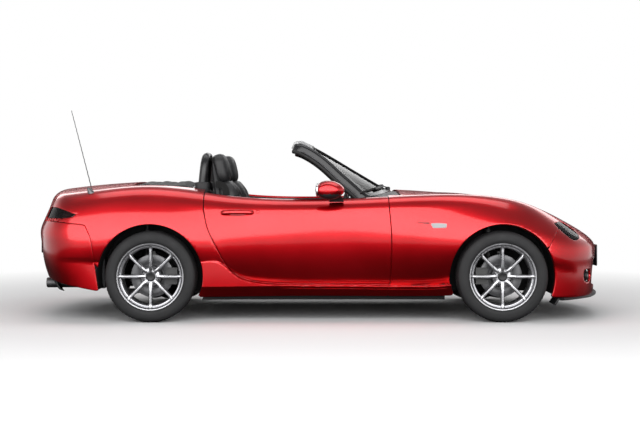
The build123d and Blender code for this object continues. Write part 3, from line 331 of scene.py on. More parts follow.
def trimmedPanel(cast, uRange, vRange, shape, field, thickness=0.018, hem=0.003, relief=None):
    # a grid on the body's surface, trimmed where the field falls below 0, its edges rolled in and closed
    us, vs = spaced(uRange, shape[0]), spaced(vRange, shape[1])
    uv = np.stack([k.ravel() for k in np.meshgrid(us, vs, indexing="ij")], axis=1)
    quads = gridFaces(shape[0], shape[1])
    faces = np.concatenate([quads[:, [0, 1, 2]], quads[:, [0, 2, 3]]])
    values = field(cast(uv[:, 0], uv[:, 1]))
    near = (values[faces] > -0.001).any(axis=1)
    faces = faces[near]
    for level in (hem, hem * 0.55, hem * 0.2, 0.0):
        uv, faces, values = splitAt(uv, faces, values, level)
    faces = faces[values[faces].mean(axis=1) > 0]
    used, faces = np.unique(faces, return_inverse=True)
    faces = faces.reshape(-1, 3)
    uv, values = uv[used], np.clip(values[used], 0, hem)
    points = cast(uv[:, 0], uv[:, 1])
    normals = bodyNormal(points)
    flat = np.einsum("ij,ij->i", np.cross(points[faces[:, 1]] - points[faces[:, 0]],
                                          points[faces[:, 2]] - points[faces[:, 0]]),
                     normals[faces[:, 0]])
    faces = np.where((flat < 0)[:, None], faces[:, ::-1], faces)
    sink = hem - np.sqrt(np.maximum(hem ** 2 - (hem - values) ** 2, 0))
    lift = relief(points) if relief else np.zeros(len(points))
    outer = points + normals * (lift - sink)[:, None]
    inner = points + normals * (lift - thickness)[:, None]
    n = len(points)
    edges = np.concatenate([faces[:, [0, 1]], faces[:, [1, 2]], faces[:, [2, 0]]])
    forward = edges[:, 0] * n + edges[:, 1]
    border = edges[~np.isin(forward, edges[:, 1] * n + edges[:, 0])]
    wall = np.stack([border[:, 1], border[:, 0], border[:, 0] + n, border[:, 1] + n], axis=1)
    allFaces = faces.tolist() + (faces[:, ::-1] + n).tolist() + wall.tolist()
    return np.concatenate([outer, inner]), allFaces


def panelPiece(name, shapes, material, rider, nodes, sharp=35):
    # a body panel of one or more shapes, riding its body and standing for its solids
    piece = meshObject(name, *joined(*shapes), material, sharp)
    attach(piece, rider)
    if nodes:
        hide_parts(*nodes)
    return piece


class Socket:
    # a shader value that takes part in plain arithmetic
    def __init__(self, tree, link):
        self.tree, self.link = tree, link

    def maths(self, operation, other, swap=False):
        values = [other, self] if swap else [self, other]
        return self.tree.node("ShaderNodeMath", {"operation": operation}, {0: values[0], 1: values[1]})

    def __add__(self, other):
        return self.maths("ADD", other)

    def __sub__(self, other):
        return self.maths("SUBTRACT", other)

    def __mul__(self, other):
        return self.maths("MULTIPLY", other)

    def __truediv__(self, other):
        return self.maths("DIVIDE", other)

    def __radd__(self, other):
        return self.maths("ADD", other, True)

    def __rsub__(self, other):
        return self.maths("SUBTRACT", other, True)

    def __rmul__(self, other):
        return self.maths("MULTIPLY", other, True)

    def __rtruediv__(self, other):
        return self.maths("DIVIDE", other, True)

    def root(self):
        return self.maths("POWER", 0.5)


class Shader:
    # the node tree of one material, or of the world
    def __init__(self, name, tree=None):
        self.material = None if tree else bpy.data.materials.new(name)
        if not tree:
            self.material.use_nodes = True
            tree = self.material.node_tree
        self.nodes, self.links = tree.nodes, tree.links
        self.nodes.clear()
        self.output = self.nodes.new("ShaderNodeOutput" + ("Material" if self.material else "World"))

    def node(self, kind, settings=None, inputs=None, output=0):
        made = self.nodes.new(kind)
        for key, value in (settings or {}).items():
            setattr(made, key, value)
        for key, value in (inputs or {}).items():
            if isinstance(value, Socket):
                self.links.new(value.link, made.inputs[key])
            else:
                made.inputs[key].default_value = value
        return Socket(self, made.outputs[output])

    def place(self, scale=(1, 1, 1), turn=(0, 0, 0), move=(0, 0, 0)):
        where = self.node("ShaderNodeTexCoord", output="Object")
        return self.node("ShaderNodeMapping", inputs={"Vector": where, "Scale": scale, "Rotation": turn,
                                                      "Location": move})

    def noise(self, scale, detail=4, rough=0.55, vector=None):
        return self.node("ShaderNodeTexNoise", inputs={"Vector": vector or self.place(), "Scale": scale,
                                                       "Detail": detail, "Roughness": rough})

    def mix(self, factor, a, b):
        return self.node("ShaderNodeMix", {"data_type": "RGBA"}, {0: factor, 6: a, 7: b}, 2)

    def between(self, value, low, high, outLow, outHigh):
        return self.node("ShaderNodeMapRange", {"clamp": True},
                         {0: value, 1: low, 2: high, 3: outLow, 4: outHigh})

    def bump(self, height, strength, distance, normal=None):
        inputs = {"Height": height, "Strength": strength, "Distance": distance}
        if normal:
            inputs["Normal"] = normal
        return self.node("ShaderNodeBump", inputs=inputs)

    def principled(self, **values):
        names = {"colour": "Base Color", "rough": "Roughness", "metal": "Metallic", "coat": "Coat Weight",
                 "coatRough": "Coat Roughness", "normal": "Normal", "sheen": "Sheen Weight",
                 "specular": "Specular IOR Level"}
        return self.node("ShaderNodeBsdfPrincipled", inputs={names[k]: v for k, v in values.items()})

    def seenRays(self):
        # 1 for what the camera sees, straight, in a gloss or through glass
        rays = [self.node("ShaderNodeLightPath", output=k) for k in ("Is Camera Ray", "Is Glossy Ray",
                                                                    "Is Transmission Ray")]
        return rays[0] + rays[1] + rays[2]

    def finish(self, surface):
        self.links.new(surface.link, self.output.inputs["Surface"])
        return self.material


def carPaint(name="carPaint", shade=1.0):
    # red flakes in a dark base under a clear coat; a shade below 1 darkens the whole copy, as painted
    # shade
    look = {"colour": (0.56 * shade, 0.004, 0.009, 1), "deep": (0.48 * shade, 0.0025, 0.006, 1),
            "metal": 0.94, "rough": 0.34, "coat": 0.9, "coatRough": 0.11}
    s = Shader(name)
    flakes = s.node("ShaderNodeTexVoronoi", inputs={"Vector": s.place(), "Scale": 1400.0}, output="Color")
    tone = s.noise(3.0, 2)
    colour = s.mix(s.between(tone, 0.35, 0.65, 0.0, 1.0), look["deep"], look["colour"])
    flakeNormal = s.bump(s.node("ShaderNodeSeparateColor", inputs={0: flakes}), 0.05, 0.0004)
    return s.finish(s.principled(colour=colour, metal=look["metal"], rough=look["rough"], specular=0.0,
                                 coat=look["coat"], coatRough=look["coatRough"], normal=flakeNormal))


def toned(colour, factor):
    # a lighter or darker tone of a colour
    return tuple(min(1, c * factor) for c in colour[:3]) + (1,)


def plastic(name, colour, rough, grain=0.15, scale=900.0):
    # moulded plastic: a fine grain, and broad patches that shine a little less
    s = Shader(name)
    fine = s.noise(scale, 3, 0.6)
    broad = s.noise(12.0, 3)
    tone = s.mix(broad, toned(colour, 0.8), toned(colour, 1.25))
    wear = s.between(broad, 0.3, 0.7, rough - 0.05, rough + 0.07)
    return s.finish(s.principled(colour=tone, rough=wear, normal=s.bump(fine, grain, 0.0003)))


def tyreRubber():
    # dusty rubber in two greys
    s = Shader("tyreRubber")
    broad = s.noise(9.0, 4)
    fine = s.noise(420.0, 3)
    tone = s.mix(broad, (0.012, 0.012, 0.013, 1), (0.024, 0.024, 0.025, 1))
    return s.finish(s.principled(colour=tone, rough=s.between(broad, 0.3, 0.7, 0.62, 0.8),
                                 normal=s.bump(fine, 0.12, 0.0004)))


def alloy():
    # silver lacquer over cast alloy
    s = Shader("wheelAlloy")
    broad = s.noise(14.0, 3)
    fine = s.noise(1200.0, 2)
    tone = s.mix(broad, (0.5, 0.5, 0.52, 1), (0.6, 0.6, 0.62, 1))
    return s.finish(s.principled(colour=tone, metal=0.9, rough=s.between(broad, 0.3, 0.7, 0.24, 0.34),
                                 coat=0.5, coatRough=0.08, normal=s.bump(fine, 0.03, 0.0002)))


def metal(name, colour, rough, grain=0.06):
    # bare metal with faint casting grain
    s = Shader(name)
    broad = s.noise(22.0, 4)
    fine = s.noise(700.0, 3)
    tone = s.mix(broad, toned(colour, 0.75), toned(colour, 1.15))
    wear = s.between(broad, 0.3, 0.7, rough - 0.06, rough + 0.08)
    return s.finish(s.principled(colour=tone, metal=1.0, rough=wear, normal=s.bump(fine, grain, 0.0002)))


def clearSheet(name, tint, show, rough=0.03, ior=1.5):
    # thin clear sheet: mostly see-through, glossy on top
    s = Shader(name)
    clear = s.node("ShaderNodeBsdfTransparent", inputs={"Color": tint})
    gloss = s.principled(colour=(0.02, 0.02, 0.02, 1), rough=rough, specular=0.9)
    fresnel = s.node("ShaderNodeFresnel", inputs={"IOR": ior})
    mask = fresnel * (1 - show) + show
    return s.finish(s.node("ShaderNodeMixShader", inputs={0: mask, 1: clear, 2: gloss}))


def leather(name, colour, rough=0.5):
    # pores from a net of cells, creases from noise
    s = Shader(name)
    pores = s.node("ShaderNodeTexVoronoi", {"feature": "DISTANCE_TO_EDGE"},
                   {"Vector": s.place(), "Scale": 420.0})
    broad = s.noise(7.0, 4)
    crease = s.noise(60.0, 3)
    tone = s.mix(broad, toned(colour, 0.75), toned(colour, 1.3))
    height = s.between(pores, 0.0, 0.12, 0.0, 1.0) * 0.7 + crease * 0.5
    return s.finish(s.principled(colour=tone, rough=s.between(broad, 0.3, 0.7, rough - 0.06, rough + 0.1),
                                 normal=s.bump(height, 0.25, 0.0006)))


def fabric(name, colour, scale=700.0, rough=0.9):
    # a plain weave from crossed waves
    s = Shader(name)
    where = s.place()
    waves = [s.node("ShaderNodeTexWave", {"bands_direction": axis, "wave_profile": "SIN"},
                    {"Vector": where, "Scale": scale / 6.0, "Distortion": 0.4, "Detail": 1.0}, 1)
             for axis in "XY"]
    broad = s.noise(9.0, 4)
    tone = s.mix(broad, toned(colour, 0.7), toned(colour, 1.35))
    return s.finish(s.principled(colour=tone, rough=rough, sheen=0.15, specular=0.2,
                                 normal=s.bump(waves[0] * waves[1], 0.35, 0.0006)))


paint = carPaint()
# a darker copy of the paint for the recess behind the door handle: painted shade, the same red darkened
recessShadePaint = carPaint("recessShadePaint", 0.6)
blackPlastic = plastic("blackPlastic", (0.014, 0.014, 0.015), 0.48)
frameBlack = plastic("frameBlack", (0.008, 0.008, 0.009), 0.22, 0.02)
borderBlack = plastic("borderBlack", (0.006, 0.006, 0.006), 0.12, 0.0)
rubberTrim = plastic("rubberTrim", (0.009, 0.009, 0.009), 0.62, 0.1)
linerPlastic = plastic("linerPlastic", (0.01, 0.01, 0.011), 0.8, 0.35, 260.0)
dashPlastic = plastic("dashPlastic", (0.018, 0.018, 0.019), 0.62, 0.35, 520.0)
satinBlack = plastic("satinBlack", (0.01, 0.01, 0.011), 0.3, 0.05)
meshPlastic = plastic("meshPlastic", (0.01, 0.01, 0.01), 0.55)
rubber = tyreRubber()
wheelAlloy = alloy()
discIron = metal("discIron", (0.15, 0.15, 0.155), 0.42)
frameSilver = metal("frameSilver", (0.1, 0.1, 0.105), 0.4)
brightTrim = metal("brightTrim", (0.62, 0.62, 0.63), 0.22, 0.02)
chrome = metal("chromeBright", (0.75, 0.75, 0.76), 0.08, 0.0)
castIron = metal("castIron", (0.16, 0.16, 0.165), 0.55, 0.2)
armSteel = metal("armSteel", (0.1, 0.1, 0.1), 0.55, 0.15)
mirrorSilver = metal("mirrorSilver", (0.85, 0.86, 0.87), 0.03, 0.0)
lampSilver = metal("lampSilver", (0.42, 0.4, 0.4), 0.34, 0.0)
lampHousing = plastic("lampHousing", (0.1, 0.1, 0.105), 0.25, 0.02)
lampGlass = clearSheet("lampGlass", (0.93, 0.95, 0.96, 1), 0.05)
tailGlass = clearSheet("tailGlass", (0.8, 0.66, 0.66, 1), 0.1)
screenGlass = clearSheet("screenGlass", (0.9, 0.93, 0.93, 1), 0.05, 0.02, 1.45)
lensInner = plastic("lensInner", (0.25, 0.26, 0.27), 0.06, 0.0)
clearWhite = plastic("clearWhite", (0.4, 0.4, 0.41), 0.14, 0.0)
tailRed = plastic("tailRed", (0.42, 0.006, 0.008), 0.14, 0.0)
seatLeather = leather("seatLeather", (0.014, 0.014, 0.015), 0.48)
dashLeather = leather("dashLeather", (0.012, 0.012, 0.013), 0.52)
topFabric = fabric("topFabric", (0.01, 0.01, 0.011))
carpet = fabric("carpet", (0.012, 0.012, 0.012), 420.0, 0.97)
darkFabric = fabric("darkFabric", (0.014, 0.014, 0.014), 600.0)
print("stage: materials ready")


lines = {
    "gap": 0.0022, "seam": 0.0006,
    "doorInnerY": 0.702, "wingFrom": 0.448, "sideTo": 0.45,
    "hoodHalf": 0.604, "hoodFrom": -0.7, "rimY": 0.722, "cowlHalf": 0.643, "cowlFrom": 0.545,
    "lidHalf": 0.535, "lidFront": -1.275, "lidBottom": 0.661, "lidGap": 0.0045, "lidAhead": 0.02,
    # headlamps lie outside this y, intake and fog lamps in front of this x
    "lampY": 0.45, "noseX": 1.5,
}
doorOutline = outline(
    [(0.448, 1.0), (0.4555, 0.757)],
    [(0.4555, 0.757), (0.468, 0.6), (0.47, 0.45), (0.461, 0.2465)],
    [(0.461, 0.2465), (0.164, 0.2505), (-0.1, 0.252)],
    [(-0.1, 0.252), (-0.222, 0.255), (-0.3725, 0.264), (-0.473, 0.282), (-0.554, 0.322), (-0.612, 0.375),
     (-0.655, 0.447), (-0.697, 0.528), (-0.734, 0.612), (-0.766, 0.757)],
    [(-0.766, 0.757), (-0.768, 1.0)])
bonnetOutline = outline(
    [(0.54, -0.64), (1.1, -0.606), (1.55, -0.546), (1.715, -0.515)],
    [(1.715, -0.515), (1.8, -0.4), (1.838, -0.25), (1.848, 0.0), (1.838, 0.25), (1.8, 0.4),
     (1.715, 0.515)], [(1.715, 0.515), (1.55, 0.546), (1.1, 0.606), (0.54, 0.64)],
    [(0.54, 0.64), (0.54, -0.64)])
headlampOutline = outline(
    [(1.556, 0.647), (1.62, 0.652), (1.675, 0.631), (1.725, 0.593)],
    [(1.725, 0.593), (1.747, 0.566), (1.738, 0.543)],
    [(1.738, 0.543), (1.7, 0.534), (1.645, 0.56), (1.592, 0.607), (1.556, 0.647)])
tailLampOutline = outline(
    [(-1.585, 0.7), (-1.66, 0.727), (-1.74, 0.751)],
    [(-1.74, 0.751), (-2.05, 0.757)],
    [(-2.05, 0.757), (-2.05, 0.681)],
    [(-2.05, 0.681), (-1.74, 0.682)],
    [(-1.74, 0.682), (-1.66, 0.687), (-1.585, 0.7)])
frontSeam = outline(
    [(1.44, 0.0), (1.468, 0.42), (1.545, 0.57)],
    [(1.545, 0.57), (1.6, 0.632)],
    [(1.6, 0.632), (2.1, 1.1)],
    [(2.1, 1.1), (2.1, 0.0)],
    [(2.1, 0.0), (1.44, 0.0)])
rearSeam = outline(
    [(-1.42, 0.0), (-1.5, 0.56)],
    [(-1.5, 0.56), (-1.54, 0.64)],
    [(-1.54, 0.64), (-1.7, 0.6555), (-2.1, 0.6555)],
    [(-2.1, 0.6555), (-2.1, 0.0)],
    [(-2.1, 0.0), (-1.42, 0.0)])


intakeOutline = outline(
    [(0.0, 0.392), (0.36, 0.39)],
    [(0.36, 0.39), (0.43, 0.375), (0.47, 0.335)],
    [(0.47, 0.335), (0.505, 0.26), (0.51, 0.225)],
    [(0.51, 0.225), (0.49, 0.207), (0.45, 0.203)],
    [(0.45, 0.203), (0.0, 0.2)],
    [(0.0, 0.2), (-0.1, 0.2), (-0.1, 0.392), (0.0, 0.392)])
fogOutline = outline(
    [(0.552, 0.292), (0.575, 0.326), (0.64, 0.336)],
    [(0.64, 0.336), (0.662, 0.322), (0.664, 0.292)],
    [(0.664, 0.292), (0.655, 0.262), (0.625, 0.25)],
    [(0.625, 0.25), (0.575, 0.254), (0.552, 0.292)])


def leastOf(*fields):
    # inside all the fields at once
    return np.minimum.reduce(fields)


def within(x, y, line, gap="gap"):
    # depth inside an outline, less the gap
    return signedDistance(x, y, line) - lines[gap]


def outside(x, y, line, gap="gap"):
    # distance outside an outline, less the gap
    return -signedDistance(x, y, line) - lines[gap]


def archField(p):
    # distance outside the round wheel openings
    front = np.hypot(p[:, 0] - body["frontAxle"], p[:, 2] - body["wheelZ"])
    rear = np.hypot(p[:, 0] - body["rearAxle"], p[:, 2] - body["wheelZ"])
    return np.minimum(front, rear) - body["archRadius"]


def skirtField(p):
    # height above the body's lower edge
    return p[:, 2] - curve["bottomZ"](p[:, 0])


def doorField(p):
    # inside the door line, and outside the inner plane
    return leastOf(within(p[:, 0], p[:, 2], doorOutline), p[:, 1] - lines["doorInnerY"])


def wingField(p):
    # in front of the door, outside bonnet, headlamp and bumper, above arch and skirt
    x, y, z = p.T
    return leastOf(outside(x, z, doorOutline), x - lines["wingFrom"], outside(x, np.abs(y), bonnetOutline),
                   outside(x, z, headlampOutline, "seam"), outside(x, z, frontSeam, "seam"),
                   archField(p), skirtField(p),
                   y - lines["cowlHalf"] + np.maximum(x - lines["cowlFrom"], 0) * 10)


def sideField(p):
    # behind the door, outside hood well, boot lid, tail lamp and bumper, above arch and skirt
    x, y, z = p.T
    top = np.where(x > lines["hoodFrom"], y - lines["rimY"], y - lines["hoodHalf"])
    top = np.where(x < lines["lidFront"] + lines["lidAhead"], y - lines["lidHalf"] - lines["lidGap"], top)
    return leastOf(outside(x, z, doorOutline), lines["sideTo"] - x, top,
                   outside(x, z, tailLampOutline, "seam"), outside(x, z, rearSeam, "seam"),
                   archField(p), skirtField(p))


def bonnetField(p):
    # inside the bonnet line
    return within(p[:, 0], p[:, 1], bonnetOutline)


def frontBumperField(p):
    # inside the bumper line, outside the lamps, intake and bonnet
    x, y, z = p[:, 0], np.abs(p[:, 1]), p[:, 2]
    lamp = np.where(y > lines["lampY"], outside(x, z, headlampOutline, "seam"), 1)
    intake = np.where(x > lines["noseX"], -signedDistance(y, z, intakeOutline), 1)
    fog = np.where(x > lines["noseX"], -signedDistance(y, z, fogOutline), 1)
    return leastOf(within(x, z, frontSeam, "seam"), lamp, intake, fog,
                   outside(x, y, bonnetOutline), archField(p), skirtField(p))


def lidField(p):
    # the boot lid: a box in the body's surface
    x, y, z = p[:, 0], np.abs(p[:, 1]), p[:, 2]
    return leastOf(lines["lidFront"] - x, lines["lidHalf"] - y, z - lines["lidBottom"])


def rearBumperField(p):
    # inside the bumper line, above arch and skirt
    return leastOf(within(p[:, 0], p[:, 2], rearSeam, "seam"), archField(p), skirtField(p))


panels = {
    "door": ((-0.79, 0.49), [(-0.04, 2), (0.35, 1), (1.55, 1)], (104, 78)),
    "wing": ([(0.43, 1.6), (0.95, 1), (1.83, 1)], [(-0.45, 1), (-0.05, 12), (0.04, 1), (1.6, 1)],
             (106, 98)),
    "side": ([(-1.97, 1), (-0.68, 4), (-0.35, 1), (0.47, 1)],
             [(-0.45, 1), (-0.04, 14), (0.02, 4), (0.3, 1), (1.6, 1)], (160, 120)), }


def bodyPanels():
    # door, wing and side on both sides, then bonnet, boot lid and the two bumpers
    for tag, flip in (("left", False), ("right", True)):
        for part, field, node in (("door", doorField, "door_"), ("wing", wingField, "wing_"),
                                  ("side", sideField, "side_")):
            uRange, vRange, size = panels[part]
            shape = trimmedPanel(flankCast, uRange, vRange, size, field)
            rider = tag + "_door" if part == "door" else "root"
            panelPiece(part + tag.capitalize(), [flippedY(shape) if flip else shape], paint, rider,
                       [node + tag])
    bonnet = trimmedPanel(topCast, (0.52, 1.87), (-0.67, 0.67), (68, 68), bonnetField)
    panelPiece("bonnetPanel", [bonnet], paint, "bonnet", ["bonnet"])
    lid = trimmedPanel(lidCast, (0.9, 3.1), (-0.56, 0.56), (70, 70), lidField)
    panelPiece("bootLidPanel", [lid], paint, "boot_lid", ["boot_lid"])
    nose = trimmedPanel(noseCast, (-1.62, 1.62), (-0.55, 0.75), (172, 72), frontBumperField)
    panelPiece("frontBumperSkin", [nose], paint, "root", ["front_bumper"])
    tail = trimmedPanel(tailCast, (-1.62, 1.62), (-0.55, 0.6), (176, 68), rearBumperField)
    panelPiece("rearBumperSkin", [tail], paint, "root", ["rear_bumper"])


def outward(shape):
    # turns the faces of a closed shape outwards
    points, faces = shape
    p = np.asarray(points, float)
    volume = 0.0
    for corners in {len(f) for f in faces}:
        f = np.array([list(map(int, face)) for face in faces if len(face) == corners])
        for k in range(1, corners - 1):
            volume += np.einsum("ij,ij->i", p[f[:, 0]], np.cross(p[f[:, k]], p[f[:, k + 1]])).sum()
    return (p, [list(f)[::-1] for f in faces]) if volume < 0 else (p, [list(f) for f in faces])


def placed(shape, axes, at):
    # a shape built about the origin, turned to the given axes and moved
    return outward((shape[0] @ np.asarray(axes, float) + np.asarray(at, float), shape[1]))


def loft(rings, closed=False):
    # a skin over closed rings of equally many points, its ends capped by fans, or joined up
    rings = np.asarray(rings, float)
    rows, columns = rings.shape[:2]
    points = rings.reshape(-1, 3)
    faces = gridFaces(rows, columns, closeRows=closed, closeColumns=True).tolist()
    if not closed:
        points = np.concatenate([points, rings[0].mean(axis=0)[None], rings[-1].mean(axis=0)[None]])
        n, last = rows * columns, (rows - 1) * columns
        for j in range(columns):
            k = (j + 1) % columns
            faces += [[n, k, j], [n + 1, last + j, last + k]]
    return outward((points, faces))


def lathe(profile, centre, count=96):
    # a closed profile of (radius, y) turned about a line along Y
    r, y = np.asarray(profile, float).T
    a = np.linspace(0, 2 * math.pi, count, endpoint=False)[:, None]
    rings = np.stack([centre[0] + r * np.cos(a), centre[1] + y + 0 * a, centre[2] + r * np.sin(a)],
                     axis=2)
    return loft(rings, closed=True)


def frames(path):
    # tangents of a path and two directions square to it that don't twist
    t = np.gradient(path, axis=0)
    t /= np.linalg.norm(t, axis=1, keepdims=True)
    side = np.cross(t[0], [0, 0, 1.0] if abs(t[0, 2]) < 0.9 else [1.0, 0, 0])
    sides = []
    for k in t:
        side = side - k * np.dot(side, k)
        side /= np.linalg.norm(side)
        sides.append(side)
    sides = np.array(sides)
    return t, sides, np.cross(t, sides)


def tube(path, radius, sides=12, flat=1.0, up=None, closed=False):
    # a round or flattened bar along a path, its ends rounded a little
    path = np.asarray(path, float)
    t, a, b = frames(path)
    if up is not None:
        b = np.asarray(up, float) - t * (t @ np.asarray(up, float))[:, None]
        b /= np.linalg.norm(b, axis=1, keepdims=True)
        a = np.cross(b, t)
    r = np.broadcast_to(radius, len(path)).astype(float)
    if not closed:
        path = np.concatenate([[path[0] - t[0] * r[0] * 0.25], path, [path[-1] + t[-1] * r[-1] * 0.25]])
        r = np.concatenate([[r[0] * 0.6], r, [r[-1] * 0.6]])
        a, b = (np.concatenate([v[:1], v, v[-1:]]) for v in (a, b))
    q = np.linspace(0, 2 * math.pi, sides, endpoint=False)
    ring = a[:, None] * np.cos(q)[None, :, None] + b[:, None] * (flat * np.sin(q))[None, :, None]
    return loft(path[:, None] + ring * r[:, None, None], closed)


def roundedRect(width, height, corner, steps=5):
    # a rectangle with round corners, as (x, y) points in turn
    q = np.linspace(0, math.pi / 2, steps)
    corner = min(corner, width / 2 - 1e-5, height / 2 - 1e-5)
    points = []
    for k, (sx, sy) in enumerate(((1, 1), (-1, 1), (-1, -1), (1, -1))):
        a = q + k * math.pi / 2
        points += list(zip(sx * (width / 2 - corner) + corner * np.cos(a),
                           sy * (height / 2 - corner) + corner * np.sin(a)))
    return np.array(points)


def block(centre, size, corner=0.004, bevel=0.0015, axes=None, bend=None):
    # a box of width, height and depth with rounded corners and bevelled rims, turned to the given axes
    axes = np.eye(3) if axes is None else np.asarray(axes, float)
    bevel = min(bevel, size[2] * 0.49)
    steps = [(0.0, bevel), (bevel * 0.3, bevel * 0.3), (bevel, 0.0)]
    levels = [(-size[2] / 2 + d, inset) for d, inset in steps]
    levels += [(size[2] / 2 - d, inset) for d, inset in steps[::-1]]
    rings = []
    for z, inset in levels:
        flat = roundedRect(size[0] - 2 * inset, size[1] - 2 * inset, max(corner - inset, 0.0004))
        rings.append(np.column_stack([flat, np.full(len(flat), z)]))
    points, faces = loft(rings)
    if bend:
        points = bend(points)
    return placed((points, faces), axes, centre)


def blob(centre, size, power=2.4, rows=24, columns=36, axes=None):
    # a superellipsoid: an egg for power 2, boxier above
    def part(v):
        return np.sign(v) * np.abs(v) ** (2 / power)
    u = np.linspace(-math.pi / 2 + 0.02, math.pi / 2 - 0.02, rows)[:, None]
    v = np.linspace(0, 2 * math.pi, columns, endpoint=False)[None, :]
    rings = np.stack([part(np.cos(u)) * part(np.cos(v)), part(np.cos(u)) * part(np.sin(v)),
                      part(np.sin(u)) + 0 * v], axis=2) * np.asarray(size, float) / 2
    axes = np.eye(3) if axes is None else np.asarray(axes, float)
    points, faces = loft(rings)
    return placed((points, faces), axes, centre)


def turned(shape, angle, centre, axis="y"):
    # a copy turned about a line along Y (from z to x) or X through the centre
    c, s = math.cos(angle), math.sin(angle)
    matrix = {"y": [[c, 0, s], [0, 1, 0], [-s, 0, c]], "x": [[1, 0, 0], [0, c, -s], [0, s, c]]}[axis]
    return (shape[0] - centre) @ np.array(matrix).T + centre, shape[1]


# turned shapes laid along the car and facing back, and blocks that face forward or up the side
facingBack = [[0, 0, 1], [-1, 0, 0], [0, 1, 0]]
facingFront = [[0, 1, 0], [0, 0, 1], [1, 0, 0]]
onEdge = [[1, 0, 0], [0, 0, 1], [0, -1, 0]]


def piece(name, shapes, material, rider="root", nodes=(), sharp=40):
    # an object that rides its body and stands for the solids named
    made = meshObject(name, *joined(*shapes), material, sharp)
    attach(made, rider)
    if nodes:
        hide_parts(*nodes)
    return made


def pair(name, shapes, material, riders=("root", "root"), nodes=((), ()), sharp=40):
    # the same piece on the car's left and right
    piece(name + "Left", shapes, material, riders[0], nodes[0], sharp)
    piece(name + "Right", [outward(flippedY(s)) for s in shapes], material, riders[1], nodes[1], sharp)


wheel = {
    "middleY": 0.75, "z": 0.3, "treadCuts": 72, "spokes": 8, "lugCircle": 0.05, "lugs": 4,
    # half the tyre's section from bead to middle: radius, distance from the wheel's middle plane
    "section": [(0.204, 0.078), (0.216, 0.08), (0.2235, 0.0885), (0.23, 0.0945), (0.242, 0.0972),
                (0.256, 0.0975), (0.27, 0.0955), (0.282, 0.0905), (0.2905, 0.0835), (0.295, 0.0765),
                (0.2972, 0.069), (0.2985, 0.056), (0.2996, 0.03), (0.3, 0.0)],
    "grooves": (0.0125, 0.0415), "grooveHalf": 0.0045, "grooveDepth": 0.0065,
}


def tyreShape(side):
    # the section turned round, with four grooves round the tread and slanted cuts across its blocks
    half = smoothLine(wheel["section"], 90)
    fine = np.linspace(0, 1, 28)
    s = np.linspace(0, 1, len(half))
    half = np.column_stack([np.interp(fine, s, half[:, 0]), np.interp(fine, s, half[:, 1])])
    outer = np.concatenate([half, (half * [1, -1])[::-1][1:]])
    inner = np.array([(0.206, -0.068), (0.245, -0.084), (0.278, -0.08), (0.287, -0.06), (0.289, 0.0),
                      (0.287, 0.06), (0.278, 0.08), (0.245, 0.084), (0.206, 0.068)])
    profile = np.concatenate([outer, inner])
    count = wheel["treadCuts"] * 3
    a = np.linspace(0, 2 * math.pi, count, endpoint=False)[:, None]
    r, y = profile[:, 0][None, :], profile[:, 1][None, :]
    onTread = smoothStep(0.2935, 0.2965, r) * (np.arange(len(profile)) < len(outer))[None, :]
    sink = np.zeros((count, len(profile)))
    for g in wheel["grooves"]:
        sink = np.maximum(sink, 1 - smoothStep(wheel["grooveHalf"] * 0.5, wheel["grooveHalf"],
                                               np.abs(np.abs(y) - g)))
    wave = (a * wheel["treadCuts"] / (2 * math.pi) + 16 * y) % 1
    cut = (1 - smoothStep(0.1, 0.22, np.minimum(wave, 1 - wave))) * smoothStep(0.016, 0.022, np.abs(y))
    sink = np.maximum(sink, 0.75 * cut) * onTread
    ring = (np.abs(r - 0.2445) < 0.0018) | (np.abs(r - 0.274) < 0.0014)
    rise = 0.0006 * ring * (np.arange(len(profile)) < len(outer))[None, :]
    radius = r - wheel["grooveDepth"] * sink
    across = side * (wheel["middleY"] + y + np.sign(y) * rise)
    rings = np.stack([radius * np.cos(a), across + 0 * a, wheel["z"] + radius * np.sin(a)], axis=2)
    return loft(rings, closed=True)


